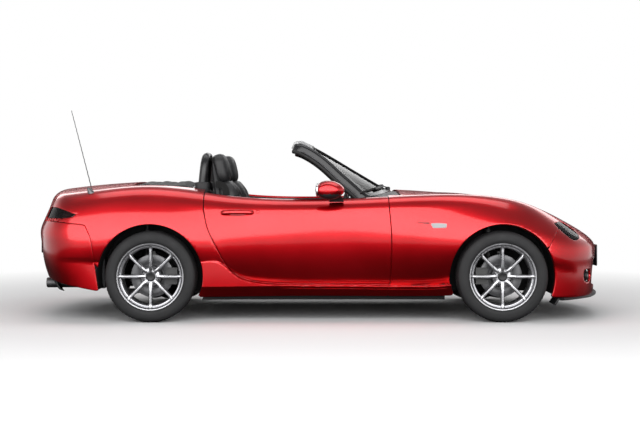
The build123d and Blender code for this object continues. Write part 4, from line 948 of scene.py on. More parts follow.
def rimShapes(side):
    # barrel, hub and spokes of one wheel
    centre = (0.0, side * wheel["middleY"], wheel["z"])
    barrel = [(0.2185, 0.0868), (0.2205, 0.085), (0.2212, 0.0815), (0.2195, 0.079), (0.215, 0.0785),
              (0.2045, 0.0775), (0.2035, 0.07), (0.203, 0.045), (0.196, 0.035), (0.193, 0.0),
              (0.196, -0.05), (0.2035, -0.065), (0.2035, -0.078), (0.219, -0.08), (0.2205, -0.085),
              (0.218, -0.087), (0.208, -0.086), (0.19, -0.07), (0.186, 0.0), (0.1872, 0.048),
              (0.1905, 0.06), (0.1925, 0.0655), (0.196, 0.0668), (0.2, 0.065), (0.204, 0.07),
              (0.2085, 0.08), (0.213, 0.0862)]
    shapes = [lathe([(r, side * y) for r, y in barrel], centre, 96)]
    # hub: a dished disc that the spokes run out of, with a well for the cap
    hub = [(0.0, 0.02), (0.066, 0.02), (0.067, 0.03), (0.064, 0.046), (0.056, 0.054), (0.04, 0.057),
           (0.0335, 0.0565), (0.032, 0.052), (0.0, 0.0515)]
    shapes.append(lathe([(max(r, 0.0006), side * y) for r, y in hub], centre, 96))
    # spoke: radius, half width at the face, half width at the root, face y, root y
    rows = [(0.03, 0.011, 0.015, 0.054, 0.03), (0.046, 0.0108, 0.015, 0.061, 0.03),
            (0.07, 0.0098, 0.0142, 0.065, 0.032), (0.1, 0.0088, 0.0132, 0.0675, 0.038),
            (0.14, 0.0082, 0.0126, 0.069, 0.044), (0.175, 0.0084, 0.013, 0.07, 0.048),
            (0.192, 0.01, 0.015, 0.0712, 0.048), (0.205, 0.0112, 0.0165, 0.077, 0.06),
            (0.2125, 0.01, 0.014, 0.0835, 0.074)]
    rings = []
    for r, top, root, face, back in rows:
        ring = [(-root, back), (-root, back + 0.35 * (face - back)), (-top, face - 0.0022),
                (-top * 0.72, face), (0, face + 0.0006), (top * 0.72, face), (top, face - 0.0022),
                (root, back + 0.35 * (face - back)), (root, back)]
        rings.append([(x, side * (wheel["middleY"] + y), wheel["z"] + r) for x, y in ring])
    spoke = loft(smoothRings(rings, 24))
    for k in range(wheel["spokes"]):
        shapes.append(turned(spoke, 2 * math.pi * k / wheel["spokes"], np.array(centre)))
    return shapes


def smoothRings(rings, count):
    # more rings between the given ones, on smooth lines through their points
    rings = np.asarray(rings, float)
    s = np.concatenate([[0], np.cumsum(np.linalg.norm(np.diff(rings.mean(axis=1), axis=0), axis=1))])
    t = np.linspace(0, s[-1], count)
    flat = rings.reshape(len(rings), -1)
    fine = np.stack([spline(s, flat[:, k])(t) for k in range(flat.shape[1])], axis=1)
    return fine.reshape(count, rings.shape[1], 3)


def moved(shape, by):
    # the same shape at another place
    return np.asarray(shape[0]) + np.asarray(by, float), shape[1]


def buildWheels():
    # tyre, rim and cap on each corner
    for tag, x, side in (("front_left", body["frontAxle"], 1), ("front_right", body["frontAxle"], -1),
                         ("rear_left", body["rearAxle"], 1), ("rear_right", body["rearAxle"], -1)):
        name = tag.title().replace("_", "")
        rider, at = tag + "_wheel", (x, 0, 0)
        centre = (0.0, side * wheel["middleY"], wheel["z"])
        piece("tyre" + name, [moved(tyreShape(side), at)], rubber, rider, ["tyre_" + tag], 38)
        piece("rim" + name, [moved(s, at) for s in rimShapes(side)], wheelAlloy, rider, ["rim_" + tag],
              35)
        cap = [(0.0006, 0.05), (0.03, 0.05), (0.0305, 0.0565), (0.0285, 0.059), (0.024, 0.06),
               (0.0225, 0.0588), (0.0006, 0.0592)]
        piece("cap" + name, [moved(lathe([(r, side * y) for r, y in cap], centre, 48), at)], blackPlastic,
              rider)
        lugs = []
        for k in range(wheel["lugs"]):
            a = 2 * math.pi * (k + 0.5) / wheel["lugs"] + math.pi / 8
            place = np.array(centre) + wheel["lugCircle"] * np.array([math.cos(a), 0, math.sin(a)])
            seat = [(0.011, 0.045), (0.0118, 0.056), (0.0105, 0.0572), (0.0095, 0.056), (0.009, 0.045)]
            lugs.append(lathe([(r, side * y) for r, y in seat], place, 24))
            nut = [(0.0004, 0.04), (0.0078, 0.04), (0.008, 0.06), (0.0064, 0.0625), (0.0004, 0.063)]
            lugs.append(lathe([(r, side * y) for r, y in nut], place, 6))
        piece("lugs" + name, [moved(s, at) for s in lugs], discIron, rider, (), 30)
        face = 0.726 - wheel["middleY"]
        disc = [(0.14, face - 0.0225), (0.14, face - 0.016), (0.134, face - 0.0155),
                (0.134, face - 0.007), (0.14, face - 0.0065), (0.14, face - 0.0005), (0.139, face),
                (0.086, face), (0.084, face - 0.0012), (0.075, face - 0.0012), (0.073, face + 0.003),
                (0.07, face + 0.03), (0.066, face + 0.0405), (0.0006, face + 0.041),
                (0.0006, face - 0.022), (0.138, face - 0.0225)]
        discShapes = [moved(lathe([(r, side * y) for r, y in disc], centre, 120), at)]
        axle = 0.12 if "rear" in tag else 0.642
        stub = [(0.0006, axle), (0.02, axle), (0.02, 0.7045), (0.0006, 0.7045)]
        discShapes.append(moved(lathe([(r, side * y) for r, y in stub], (0, 0, wheel["z"]), 32), at))
        piece("disc" + name, discShapes, discIron, rider, ["brake_disc_" + tag], 35)


def lampField(line, lowY, seam=0.0009):
    # inside a lamp's outline seen from the side, less its seam, and further out than lowY
    def field(p):
        y = np.abs(p[:, 1])
        return np.minimum(signedDistance(p[:, 0], p[:, 2], line) - seam, y - lowY)
    return field


def bowlShape(cast, uRange, vRange, shape, field, depth, slope, thickness=0.002):
    # a dish behind a lamp's lens: it falls away from the rim down to its depth
    us, vs = np.linspace(*uRange, shape[0]), np.linspace(*vRange, shape[1])

    def relief(p):
        d = np.maximum(field(p), 0)
        return -0.0065 - depth * (1 - np.exp(-d * slope))
    return trimmedPanel(cast, (us[0], us[-1]), (vs[0], vs[-1]), shape, field, thickness, 0.0008, relief)


def surfaceFrame(cast, u, v):
    # a point of the body with its outward direction and two directions along the surface
    p = cast(np.array([u]), np.array([v]))
    n = bodyNormal(p)[0]
    along = np.array([1.0, 0, 0]) - n * n[0]
    along /= np.linalg.norm(along)
    return p[0], np.array([along, np.cross(n, along), n])


def sideFrame(x, z):
    # the same for a place given by x and z on the left side
    low, high = -0.7, 1.9
    for _ in range(40):
        v = (low + high) / 2
        low, high = (v, high) if sideCast(np.array([x]), np.array([v]))[0, 2] < z else (low, v)
    return surfaceFrame(sideCast, x, v)


def projector(place, radius, length, axes):
    # a lamp unit: a turned bezel with a bulging lens in it, looking along the last axis
    bezel = [(radius * 0.86, 0.0), (radius * 0.9, 0.006), (radius, 0.009), (radius * 1.12, 0.004),
             (radius * 1.16, -0.006), (radius * 1.05, -length), (radius * 0.8, -length),
             (radius * 0.84, -0.004)]
    lens = [(0.0004, radius * 0.3)] + [(radius * 0.86 * math.sin(a), radius * 0.3 * math.cos(a) - 0.001)
                                      for a in np.linspace(0.2, 1.55, 9)] + [(0.0004, -0.004)]
    turnIt = np.array([axes[0], axes[2], axes[1]])
    shapes = []
    for profile in (bezel, lens):
        shapes.append(placed(lathe(profile, (0, 0, 0), 40), turnIt, place))
    return shapes


def buildLamps():
    # headlamps, tail lamps, fog lamps and repeaters, each a dish, its lights and a clear lens
    head = {"u": (1.5, 1.84), "v": (-0.2, 1.35), "size": (72, 64), "lowY": 0.3, "lensGap": 0.0009}
    field = lampField(headlampOutline, head["lowY"], head["lensGap"])
    lens = trimmedPanel(sideCast, head["u"], head["v"], head["size"], field, 0.0035, 0.002)
    pair("headlampLens", [lens], lampGlass)
    bowl = bowlShape(sideCast, head["u"], head["v"], head["size"], field, 0.04, 45.0)
    pair("headlampBowl", [bowl], lampHousing, nodes=(["headlamps"], ["headlamps"]))
    units = []
    for x, z, radius, sink in ((1.622, 0.62, 0.015, 0.026), (1.664, 0.598, 0.0175, 0.028),
                               (1.708, 0.568, 0.0155, 0.026)):
        place, axes = sideFrame(x, z)
        look = unit([0.8, 0.5, 0.12])
        side = unit(np.cross([0, 0, 1.0], look))
        units.append(projector(place - axes[2] * sink + look * 0.004, radius, 0.022,
                               np.array([side, np.cross(look, side), look])))
    pair("headlampBezels", [u[0] for u in units], chrome)
    pair("headlampUnits", [u[1] for u in units], lensInner)
    line = smoothLine([sideFrame(x, z)[0] - sideFrame(x, z)[1][2] * 0.016
                       for x, z in ((1.575, 0.642), (1.62, 0.643), (1.665, 0.627), (1.705, 0.601),
                                    (1.73, 0.575))], 40)
    pair("headlampLine", [tube(line, 0.0035, 10)], clearWhite)
    rear = {"u": (0.3, 1.5), "v": (-0.05, 0.75), "size": (90, 48)}
    tailField = lampField(tailLampOutline, 0.546)
    lens = trimmedPanel(tailCast, rear["u"], rear["v"], rear["size"], tailField, 0.0035, 0.002)
    pair("tailLampLens", [lens], tailGlass)
    bowl = bowlShape(tailCast, rear["u"], rear["v"], rear["size"], tailField, 0.03, 60.0)
    pair("tailLampBowl", [bowl], lampSilver, nodes=(["tail_lamps"], ["tail_lamps"]))
    rings = []
    for y, z, radius in ((0.628, 0.716, 0.034), (0.708, 0.716, 0.026)):
        p = castOut(np.array([[-1.2, y, z]]), np.array([[-1.0, 0, 0]]))[0]
        n = bodyNormal(p[None])[0]
        side = unit(np.cross([0, 0, 1.0], n))
        centre = p - n * 0.02
        q = np.linspace(0, 2 * math.pi, 48, endpoint=False)
        loop = centre + radius * (np.cos(q)[:, None] * side + np.sin(q)[:, None] * np.cross(n, side))
        rings.append(tube(loop, 0.0055, 10, closed=True))
    pair("tailLampRings", rings, tailRed)
    fog = {"y": 0.592, "z": 0.29, "radius": 0.036}
    p = castOut(np.array([[1.2, fog["y"], fog["z"]]]), np.array([[1.0, 0, 0]]))[0]
    n = unit([0.93, 0.36, 0.0])
    side = np.cross([0, 0, 1.0], n)
    units = projector(p - n * 0.014, fog["radius"] * 0.74, 0.03, np.array([side, np.cross(n, side), n]))
    pair("fogLampBezel", [units[0]], blackPlastic, nodes=(["fog_lamps"], ["fog_lamps"]))
    pair("fogLampLens", [units[1]], clearWhite)
    repeater = outline([(0.722, 0.6505), (0.77, 0.653), (0.83, 0.649)], [(0.83, 0.649), (0.8275, 0.6215)],
                       [(0.8275, 0.6215), (0.77, 0.6195), (0.738, 0.62)],
                       [(0.738, 0.62), (0.722, 0.6505)])
    shape = trimmedPanel(sideCast, (0.7, 0.85), (0.15, 0.65), (60, 40), lampField(repeater, 0.3, 0.0),
                         0.004, 0.002, lambda p: np.full(len(p), 0.0022))
    pair("repeater", [shape], clearWhite, nodes=(["repeaters"], ["repeaters"]))
    slot = outline([(0.634, 0.657), (0.722, 0.657)], [(0.722, 0.657), (0.716, 0.647)],
                   [(0.716, 0.647), (0.64, 0.651)], [(0.64, 0.651), (0.634, 0.657)])
    shape = trimmedPanel(sideCast, (0.62, 0.74), (0.2, 0.65), (60, 50), lampField(slot, 0.3, 0.0), 0.004,
                         0.001, lambda p: np.full(len(p), 0.0004))
    pair("repeaterSlot", [shape], blackPlastic)


def buildHandles():
    # a bar standing off the door with a dished recess behind it, the recess in a darker copy of the paint
    # as painted shade
    place, axes = sideFrame(-0.543, 0.719)
    bar = smoothLine([place + axes[0] * a + axes[1] * b + axes[2] * c for a, b, c in (
        (-0.108, 0.002, -0.004), (-0.098, 0.002, 0.012), (-0.06, 0.001, 0.027), (0.0, 0.0, 0.031),
        (0.06, -0.001, 0.027), (0.098, -0.002, 0.012), (0.108, -0.002, -0.004))], 60)
    width = np.interp(np.linspace(0, 1, 60), [0, 0.1, 0.5, 0.9, 1], [0.01, 0.014, 0.0155, 0.014, 0.01])
    pair("handleBar", [tube(bar, width, 20, 0.42, axes[2])], paint, ("left_door", "right_door"))
    dish = blob(place - axes[2] * 0.004, (0.15, 0.05, 0.014), 2.2, 20, 48, axes)
    # the dish takes the darker copy of the paint: painted shade in the recess
    pair("handleDish", [dish], recessShadePaint, ("left_door", "right_door"))
    lock, axes = sideFrame(-0.408, 0.727)
    pair("lockCap", [blob(lock + axes[2] * 0.0012, (0.03, 0.024, 0.006), 2.2, 12, 32, axes)], paint,
         ("left_door", "right_door"))


def buildMirrors():
    # painted shell over a black base on a short foot, with the glass facing back
    rings = []
    for y, halfX, halfZ, shift in ((0.822, 0.04, 0.03, 0.0), (0.83, 0.066, 0.044, 0.0),
                                   (0.85, 0.082, 0.053, 0.0), (0.88, 0.092, 0.06, 0.0),
                                   (0.915, 0.094, 0.062, -0.001), (0.945, 0.086, 0.057, -0.004),
                                   (0.968, 0.068, 0.045, -0.01), (0.98, 0.04, 0.028, -0.014),
                                   (0.984, 0.014, 0.01, -0.016)):
        q = np.linspace(0, 2 * math.pi, 48, endpoint=False)
        x = np.where(np.cos(q) > 0, 1.08, 0.92) * halfX * np.sign(np.cos(q)) * np.abs(np.cos(q)) ** 0.92
        z = halfZ * np.sign(np.sin(q)) * np.abs(np.sin(q)) ** 0.95
        z = z * np.where(x < 0, 1 - 0.1 * (x / halfX) ** 2, 1 - 0.22 * (x / halfX) ** 2)
        rings.append(np.column_stack([0.058 + shift + x, np.full(48, y), 0.868 + z]))
    shell = loft(smoothRings(rings, 36))
    points, faces = shell
    middle = np.array([np.mean([points[k][2] for k in f]) for f in faces])
    lower = middle < 0.868 - 0.026
    for rider, shape, tag, node in (("left_door", shell, "Left", "mirror_left"),
                                    ("right_door", outward(flippedY(shell)), "Right", "mirror_right")):
        m = meshObject("mirrorShell" + tag, shape[0], shape[1], [paint, blackPlastic], 60,
                       lower.astype(int))
        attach(m, rider)
        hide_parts(node)
    sections = ((0.108, 0.786, 0.79, 0.098, 0.05), (0.108, 0.8, 0.806, 0.09, 0.044),
                (0.106, 0.822, 0.822, 0.078, 0.042), (0.1, 0.85, 0.838, 0.07, 0.044))
    foot = loft(smoothRings([[(x, y, z) for x, y in roundedRect(w, d, 0.012) + [cx, cy]]
                             for cx, cy, z, w, d in sections], 14))
    pair("mirrorFoot", [foot], blackPlastic, ("left_door", "right_door"))
    glass = blob((-0.018, 0.905, 0.868), (0.02, 0.118, 0.086), 3.0, 24, 40)
    pair("mirrorGlass", [glass], mirrorSilver, ("left_door", "right_door"))


screen = {
    "base": (0.478, 0.866), "top": (-0.104, 1.186), "halfBase": 0.612, "halfTop": 0.488, "glassTop": 0.6,
    "length": 0.6642, "header": 0.074, "lowerRail": 0.038, "pillar": 0.056,
    # up the glass: how far its ends are drawn up, how far they fall back, and the bulge of the middle
    "bow": [(-0.05, 0.122), (0.0, 0.1145), (0.3, 0.06), (0.6, -0.008), (0.74, -0.012)],
    "fall": [(-0.05, 0.112), (0.0, 0.105), (0.3, 0.076), (0.6, 0.045), (0.74, 0.04)],
    "bulge": [(-0.05, 0.0), (0.0, 0.002), (0.3, 0.011), (0.6, 0.017), (0.68, 0.009), (0.74, -0.008)],
}
screenCurve = {k: spline(*zip(*screen[k])) for k in ("bow", "fall", "bulge")}
up = np.array([screen["top"][0] - screen["base"][0], 0.0,
               screen["top"][1] - screen["base"][1]]) / screen["length"]
outwards = np.array([up[2], 0.0, -up[0]])


def screenPoint(a, h, lift=0.0):
    # a point of the screen's surface from the distance across and the height up the middle
    a, h = np.broadcast_arrays(np.asarray(a, float), np.asarray(h, float))
    across = (a / 0.612) ** 2
    climb = h + screenCurve["bow"](h) * across
    depth = lift - screenCurve["fall"](h) * across + screenCurve["bulge"](h)
    base = np.array([screen["base"][0], 0.0, screen["base"][1]])
    return base + climb[..., None] * up + depth[..., None] * outwards + a[..., None] * [0, 1.0, 0]


def screenHalf(h):
    # half width of the glass at a height, straight between its foot and its top
    return screen["halfBase"] + (screen["halfTop"] - screen["halfBase"]) * h / screen["length"]


def screenLoop(widen, low, high, round=6, count=240):
    # the screen's outline at a distance outside the glass, as (across, height), its corners eased
    corners = [(screenHalf(low) + widen, low), (screenHalf(high) + widen, high),
               (-screenHalf(high) - widen, high), (-screenHalf(low) - widen, low)]
    line = []
    for k in range(4):
        a, b = np.array(corners[k]), np.array(corners[(k + 1) % 4])
        t = np.linspace(0, 1, count // 4, endpoint=False)[:, None]
        line.append(a + (b - a) * t)
    line = np.concatenate(line)
    for _ in range(round):
        line = (np.roll(line, 1, axis=0) + line * 2 + np.roll(line, -1, axis=0)) / 4
    return line


def buildScreen():
    # glass, frame, seals, border, inner mirror and sun visors
    inner = screenLoop(0.0, 0.01, screen["glassTop"], 10)
    s = np.linspace(-1, 1, 60)[:, None]
    t = np.linspace(0.0, 1, 40)[None, :]
    h = 0.004 + (screen["glassTop"] + 0.006) * t
    a = s * (screenHalf(h) + 0.006)
    front, back = screenPoint(a, h + 0 * s, -0.0015), screenPoint(a, h + 0 * s, -0.0055)
    rings = np.concatenate([front, back[:, ::-1]], axis=1)
    piece("windscreenGlass", [loft(rings)], screenGlass, "root", ["windscreen_glass"])
    # frame: a band between the glass and the outer edge, with a rounded front and a square back
    outer = screenLoop(screen["pillar"], -screen["lowerRail"], screen["length"] + screen["header"], 22)
    profile = [(0.0, -0.0005), (0.03, 0.0025), (0.1, 0.0042), (0.5, 0.005), (0.85, 0.0038),
               (0.96, -0.001), (1.0, -0.009), (1.0, -0.036), (0.95, -0.0435), (0.5, -0.0445),
               (0.06, -0.042), (0.0, -0.034)]
    fine = smoothLine(profile + profile[:1], 40)[:-1]
    rings = []
    for w, lift in fine:
        line = inner + (outer - inner) * w
        rings.append(screenPoint(line[:, 0], line[:, 1], lift))
    points, faces = loft(np.array(rings).transpose(1, 0, 2), closed=True)
    rows = np.array([np.mean([(k % len(fine)) for k in f]) for f in faces])
    ringOf = np.array([np.min([k // len(fine) for k in f]) for f in faces])
    heights = (inner[:, 1] + outer[:, 1]) / 2
    onHeader = heights[np.clip(ringOf, 0, len(heights) - 1)] > screen["glassTop"] + 0.02
    weights = fine[np.clip(rows.astype(int), 0, len(fine) - 1), 0]
    lifts = fine[np.clip(rows.astype(int), 0, len(fine) - 1), 1]
    silver = onHeader & (weights > 0.12) & (weights < 0.8) & (lifts > 0)
    made = meshObject("windscreenFrame", points, faces, [frameBlack, frameSilver], 50, silver.astype(int))
    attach(made, "root")
    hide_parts("windscreen_frame")
    # seal behind the pillars and the header, and the bright line between them
    seals, bright = [], []
    for side in (1, -1):
        h = np.linspace(0.035, screen["length"] + 0.052, 60)
        a = side * (screenHalf(h) + 0.044 - 0.02 * smoothStep(0.62, 0.74, h))
        seals.append(tube(screenPoint(a, h, -0.058), 0.0175, 16, 0.95, outwards))
        a = side * (screenHalf(h[:-4]) + 0.0575)
        bright.append(tube(screenPoint(a, h[:-4], -0.04), 0.0042, 10))
    a = np.linspace(-1, 1, 60) * (screenHalf(0.7) + 0.02)
    seals.append(tube(screenPoint(a, 0 * a + 0.706, -0.056), 0.0165, 16))
    piece("screenSeals", seals, rubberTrim)
    piece("screenBright", bright, frameSilver)
    # dark painted border of the glass
    loop = screenLoop(-0.016, 0.03, screen["glassTop"] - 0.02, 12)
    band = np.stack([screenPoint(l[:, 0], l[:, 1], lift) for l, lift in (
        (screenLoop(0.004, 0.006, screen["glassTop"] + 0.004, 10), -0.0008), (loop, -0.0008),
        (loop, -0.0012), (screenLoop(0.004, 0.006, screen["glassTop"] + 0.004, 10), -0.0012))], axis=1)
    piece("screenBorder", [loft(band, closed=True)], borderBlack)
    # inner mirror and its stalk, sun visors
    stalk = [screenPoint(0, 0.555, -0.008), screenPoint(0, 0.53, -0.03), screenPoint(0, 0.5, -0.055)]
    glassAt = screenPoint(0, 0.485, -0.066)
    axes = np.array([[0, 1.0, 0], [0.3, 0, 0.954], [0.954, 0, -0.3]])
    piece("innerMirror", [tube(smoothLine(stalk, 16), 0.007, 12),
                          block(glassAt, (0.235, 0.062, 0.018), 0.028, 0.006, axes)], blackPlastic)
    for side in (1, -1):
        visor = block(screenPoint(side * 0.27, 0.56, -0.05), (0.33, 0.115, 0.014), 0.02, 0.006,
                      np.array([[0, 1.0, 0], up, outwards]))
        piece("sunVisor" + ("Left" if side > 0 else "Right"), [visor], darkFabric)


def buildCowl():
    # a plastic panel in the gap between bonnet and glass, with slots, and two wiper arms on it
    def field(p):
        x, y = p[:, 0], np.abs(p[:, 1])
        return leastOf(0.537 - x, x - 0.3, 0.645 - y)
    shape = trimmedPanel(topCast, (0.28, 0.56), (-0.69, 0.69), (22, 150), field, 0.006, 0.002,
                         lambda p: -0.0125 - 0.0016 * (np.abs((p[:, 1] * 55) % 1 - 0.5) < 0.18)
                         * (p[:, 0] > 0.495) * (np.abs(p[:, 1]) < 0.56))
    piece("cowlPanel", [shape], blackPlastic, "root", ["cowl"])
    arms, blades = [], []
    for y0, reach in ((0.42, -0.5), (-0.12, -0.5)):
        pivot = topCast(np.array([0.482]), np.array([y0]))[0] + [0, 0, 0.002]
        knob = [(0.0005, -0.012), (0.017, -0.012), (0.018, 0.01), (0.012, 0.018), (0.0005, 0.019)]
        arms.append(placed(lathe(knob, (0, 0, 0), 32), onEdge, pivot))
        a = np.linspace(0, 1, 20)
        y = y0 + reach * a
        lift = screenPoint(y, 0.028 + 0 * a, 0.014)
        path = np.concatenate([[pivot + [0, 0, 0.012]], lift[4:14]])
        arms.append(tube(smoothLine(path, 30), 0.0065, 10, 0.6, outwards))
        b = np.linspace(0.1, 1.12, 30)
        y = y0 + reach * b
        blades.append(tube(screenPoint(y, 0.04 + 0 * b, 0.006), 0.006, 8))
        blades.append(tube(screenPoint(y, 0.04 + 0 * b, 0.013), 0.0042, 8))
    piece("wiperArms", arms, blackPlastic)
    piece("wiperBlades", blades, rubberTrim)


cabin = {
    "seatY": 0.372, "wheelAt": (0.06, 0.36, 0.648), "wheelRadius": 0.178, "column": math.radians(22),
    "hoopX": -0.802, "hoopHalf": 0.15,
}


def doorLow(x):
    # lower edge of the door at x, read from its outline
    line = doorOutline[doorOutline[:, 1] < 0.757]
    line = line[line[:, 0] < 0.4]
    order = np.argsort(line[:, 0])
    return np.interp(x, line[order, 0], line[order, 1])


def buildDoorCores():
    # the door's body behind its skin: trim with an arm rest on the cabin's side, painted ends
    rings = []
    for x in np.concatenate([[-0.7165], np.linspace(-0.716, 0.334, 44), [0.3345]]):
        top = curve["crestZ"](x) - 0.004
        low = max(doorLow(x) + 0.05, 0.302)
        rest = smoothStep(-0.52, -0.46, x) * (1 - smoothStep(0.02, 0.1, x))
        inner = [(0.716, top - 0.014), (0.704, top - 0.004), (0.692, top - 0.008), (0.6845, top - 0.03),
                 (0.6845, 0.655), (0.6845 - 0.02 * rest, 0.632), (0.6845 - 0.024 * rest, 0.606),
                 (0.6845 - 0.014 * rest, 0.575), (0.6845, 0.56), (0.6845, low + 0.03),
                 (0.688, low + 0.008), (0.696, low)]
        if low > 0.5:
            inner = [(y, max(z, low + 0.012 - 0.001 * k)) for k, (y, z) in enumerate(inner)]
        outer = []
        for z in (low, low + 0.01, low + (top - low) * 0.3, low + (top - low) * 0.6, top - 0.1,
                  top - 0.06):
            z = max(z, low)
            outer.append((min(0.775, float(sideWidth(np.array([x]), np.array([z]))[0]) - 0.024), z))
        rings.append([(x, y, z) for y, z in inner + outer])
    rings = np.array(rings)
    for end in (0, -1):
        middle = rings[end, :, 1:].mean(axis=0)
        rings[end, :, 1:] = middle + (rings[end, :, 1:] - middle) * 0.985
    shape = loft(rings)
    points, faces = shape
    middles = np.array([np.mean(points[list(f)], axis=0) for f in faces])
    ends = (middles[:, 0] < -0.7163) | (middles[:, 0] > 0.3343) | (middles[:, 1] > 0.7)
    for tag, made in (("Left", shape), ("Right", outward(flippedY(shape)))):
        m = meshObject("doorTrim" + tag, made[0], made[1], [dashLeather, paint], 38, ends.astype(int))
        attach(m, tag.lower() + "_door")
        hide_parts("door_" + tag.lower())
    speaker = lathe([(0.0006, 0.0), (0.058, 0.0), (0.062, -0.003), (0.066, -0.006), (0.068, 0.004),
                     (0.0006, 0.004)], (0.215, 0.683, 0.4), 48)
    pull = tube(smoothLine([(-0.02, 0.679, 0.7), (-0.035, 0.668, 0.703), (-0.085, 0.664, 0.705),
                            (-0.13, 0.67, 0.703)], 20), 0.009, 12, 0.6)
    pocket = block((-0.1, 0.676, 0.37), (0.5, 0.105, 0.022), 0.03, 0.008,
                   onEdge)
    pair("doorSpeaker", [speaker], satinBlack, ("left_door", "right_door"))
    pair("doorPull", [pull], brightTrim, ("left_door", "right_door"))
    pair("doorPocket", [pocket], dashPlastic, ("left_door", "right_door"))


def buildDash():
    # one section drawn across the car, drawn in at its ends under the screen's pillars
    rows = [(0.432, 0.52), (0.432, 0.832), (0.4, 0.838), (0.33, 0.834), (0.268, 0.822), (0.232, 0.808),
            (0.208, 0.79), (0.199, 0.768), (0.203, 0.748), (0.216, 0.738), (0.219, 0.728), (0.205, 0.718),
            (0.198, 0.695), (0.202, 0.65), (0.214, 0.6), (0.236, 0.548), (0.252, 0.52)]
    rings = []
    for y in np.linspace(-0.652, 0.652, 64):
        e = (abs(y) / 0.6) ** 2
        line = smoothLine(rows + rows[:1], 64)[:-1]
        x = 0.199 + (line[:, 0] - 0.199) * (1 - 0.52 * min(e, 1.2))
        z = line[:, 1] - 0.052 * e * smoothStep(0.6, 0.8, line[:, 1])
        rings.append(np.column_stack([x, np.full(len(x), y), z]))
    piece("dashTop", [loft(rings)], dashLeather, "root", ["dashboard"], 40)
    hood = []
    for k, x in enumerate(np.linspace(0.165, 0.335, 12)):
        a = np.linspace(0, math.pi, 20)
        grow = 1.0 - 0.1 * (k / 11)
        drop = 0.018 * (k / 11) ** 2
        outerArc = [(x + 0.022 * math.sin(t), 0.36 + 0.158 * grow * math.cos(t),
                     0.77 + 0.068 * grow * math.sin(t) - drop)
                    for t in a]
        innerArc = [(x + 0.022 * math.sin(t), 0.36 + 0.148 * grow * math.cos(t),
                     0.768 + 0.058 * grow * math.sin(t) - drop)
                    for t in a[::-1]]
        hood.append(outerArc + innerArc)
    piece("binnacleHood", [loft(hood)], dashLeather)
    dials, faces = [], []
    for y, radius in ((0.36, 0.052), (0.262, 0.04), (0.458, 0.04)):
        ring = lathe([(radius * 0.92, -0.002), (radius * 0.94, 0.012), (radius, 0.016),
                      (radius * 1.06, 0.01), (radius * 1.06, -0.002)], (0, 0, 0), 48)
        face = lathe([(0.0005, 0.0), (radius * 0.93, 0.0), (radius * 0.93, 0.003), (0.0005, 0.003)],
                     (0, 0, 0), 48)
        for shape, store in ((ring, dials), (face, faces)):
            store.append(placed(shape, [[0, 0, 1], [-0.97, 0, 0.24], [0, 1, 0]], [0.222, y, 0.778]))
    piece("dialRings", dials, brightTrim)
    piece("dialFaces", faces, satinBlack)
    vents, blades = [], []
    for y, z in ((0.585, 0.735), (0.135, 0.735), (-0.135, 0.735), (-0.585, 0.735)):
        x = 0.199 + (0.0 if abs(y) < 0.3 else 0.003)
        ring = [(0.036, -0.004), (0.037, 0.01), (0.041, 0.014), (0.046, 0.008), (0.047, -0.01),
                (0.036, -0.012)]
        vents.append(placed(lathe(ring, (0, 0, 0), 48), facingBack, [x, y, z]))
        for k in range(-2, 3):
            half = math.sqrt(0.036 ** 2 - (0.013 * k) ** 2)
            blades.append(block((x, y, z + 0.013 * k), (2 * half, 0.01, 0.0022), 0.001, 0.0008,
                                [[0, 1, 0], [0.96, 0, 0.28], [-0.28, 0, 0.96]]))
    piece("ventRings", vents, brightTrim)
    piece("ventBlades", blades, satinBlack)
    screenPad = block((0.206, 0.0, 0.842), (0.19, 0.108, 0.016), 0.014, 0.004,
                      [[0, 1, 0], [0.22, 0, 0.975], [0.975, 0, -0.22]])
    piece("centreDisplay", [screenPad], satinBlack)
    knob = [(0.0005, 0), (0.021, 0), (0.0215, 0.01), (0.019, 0.022), (0.0005, 0.023)]
    knobs = [placed(lathe(knob, (0, 0, 0), 40), facingBack, [0.204, y, 0.63])
             for y in (-0.075, 0.0, 0.075)]
    piece("heaterKnobs", knobs, satinBlack)
    pedals = [block((0.425, y, z), (0.052 if y > 0.27 else 0.05, h, 0.012), 0.012, 0.003,
                    [[0, 1, 0], [0.55, 0, 0.83], [-0.83, 0, 0.55]])
              for y, z, h in ((0.46, 0.33, 0.072), (0.365, 0.33, 0.072), (0.262, 0.31, 0.15))]
    arms = [tube([(0.43, y, 0.345), (0.436, y, 0.42), (0.438, y, 0.5)], 0.008, 8)
            for y in (0.46, 0.365, 0.262)]
    piece("pedals", pedals + arms, satinBlack)


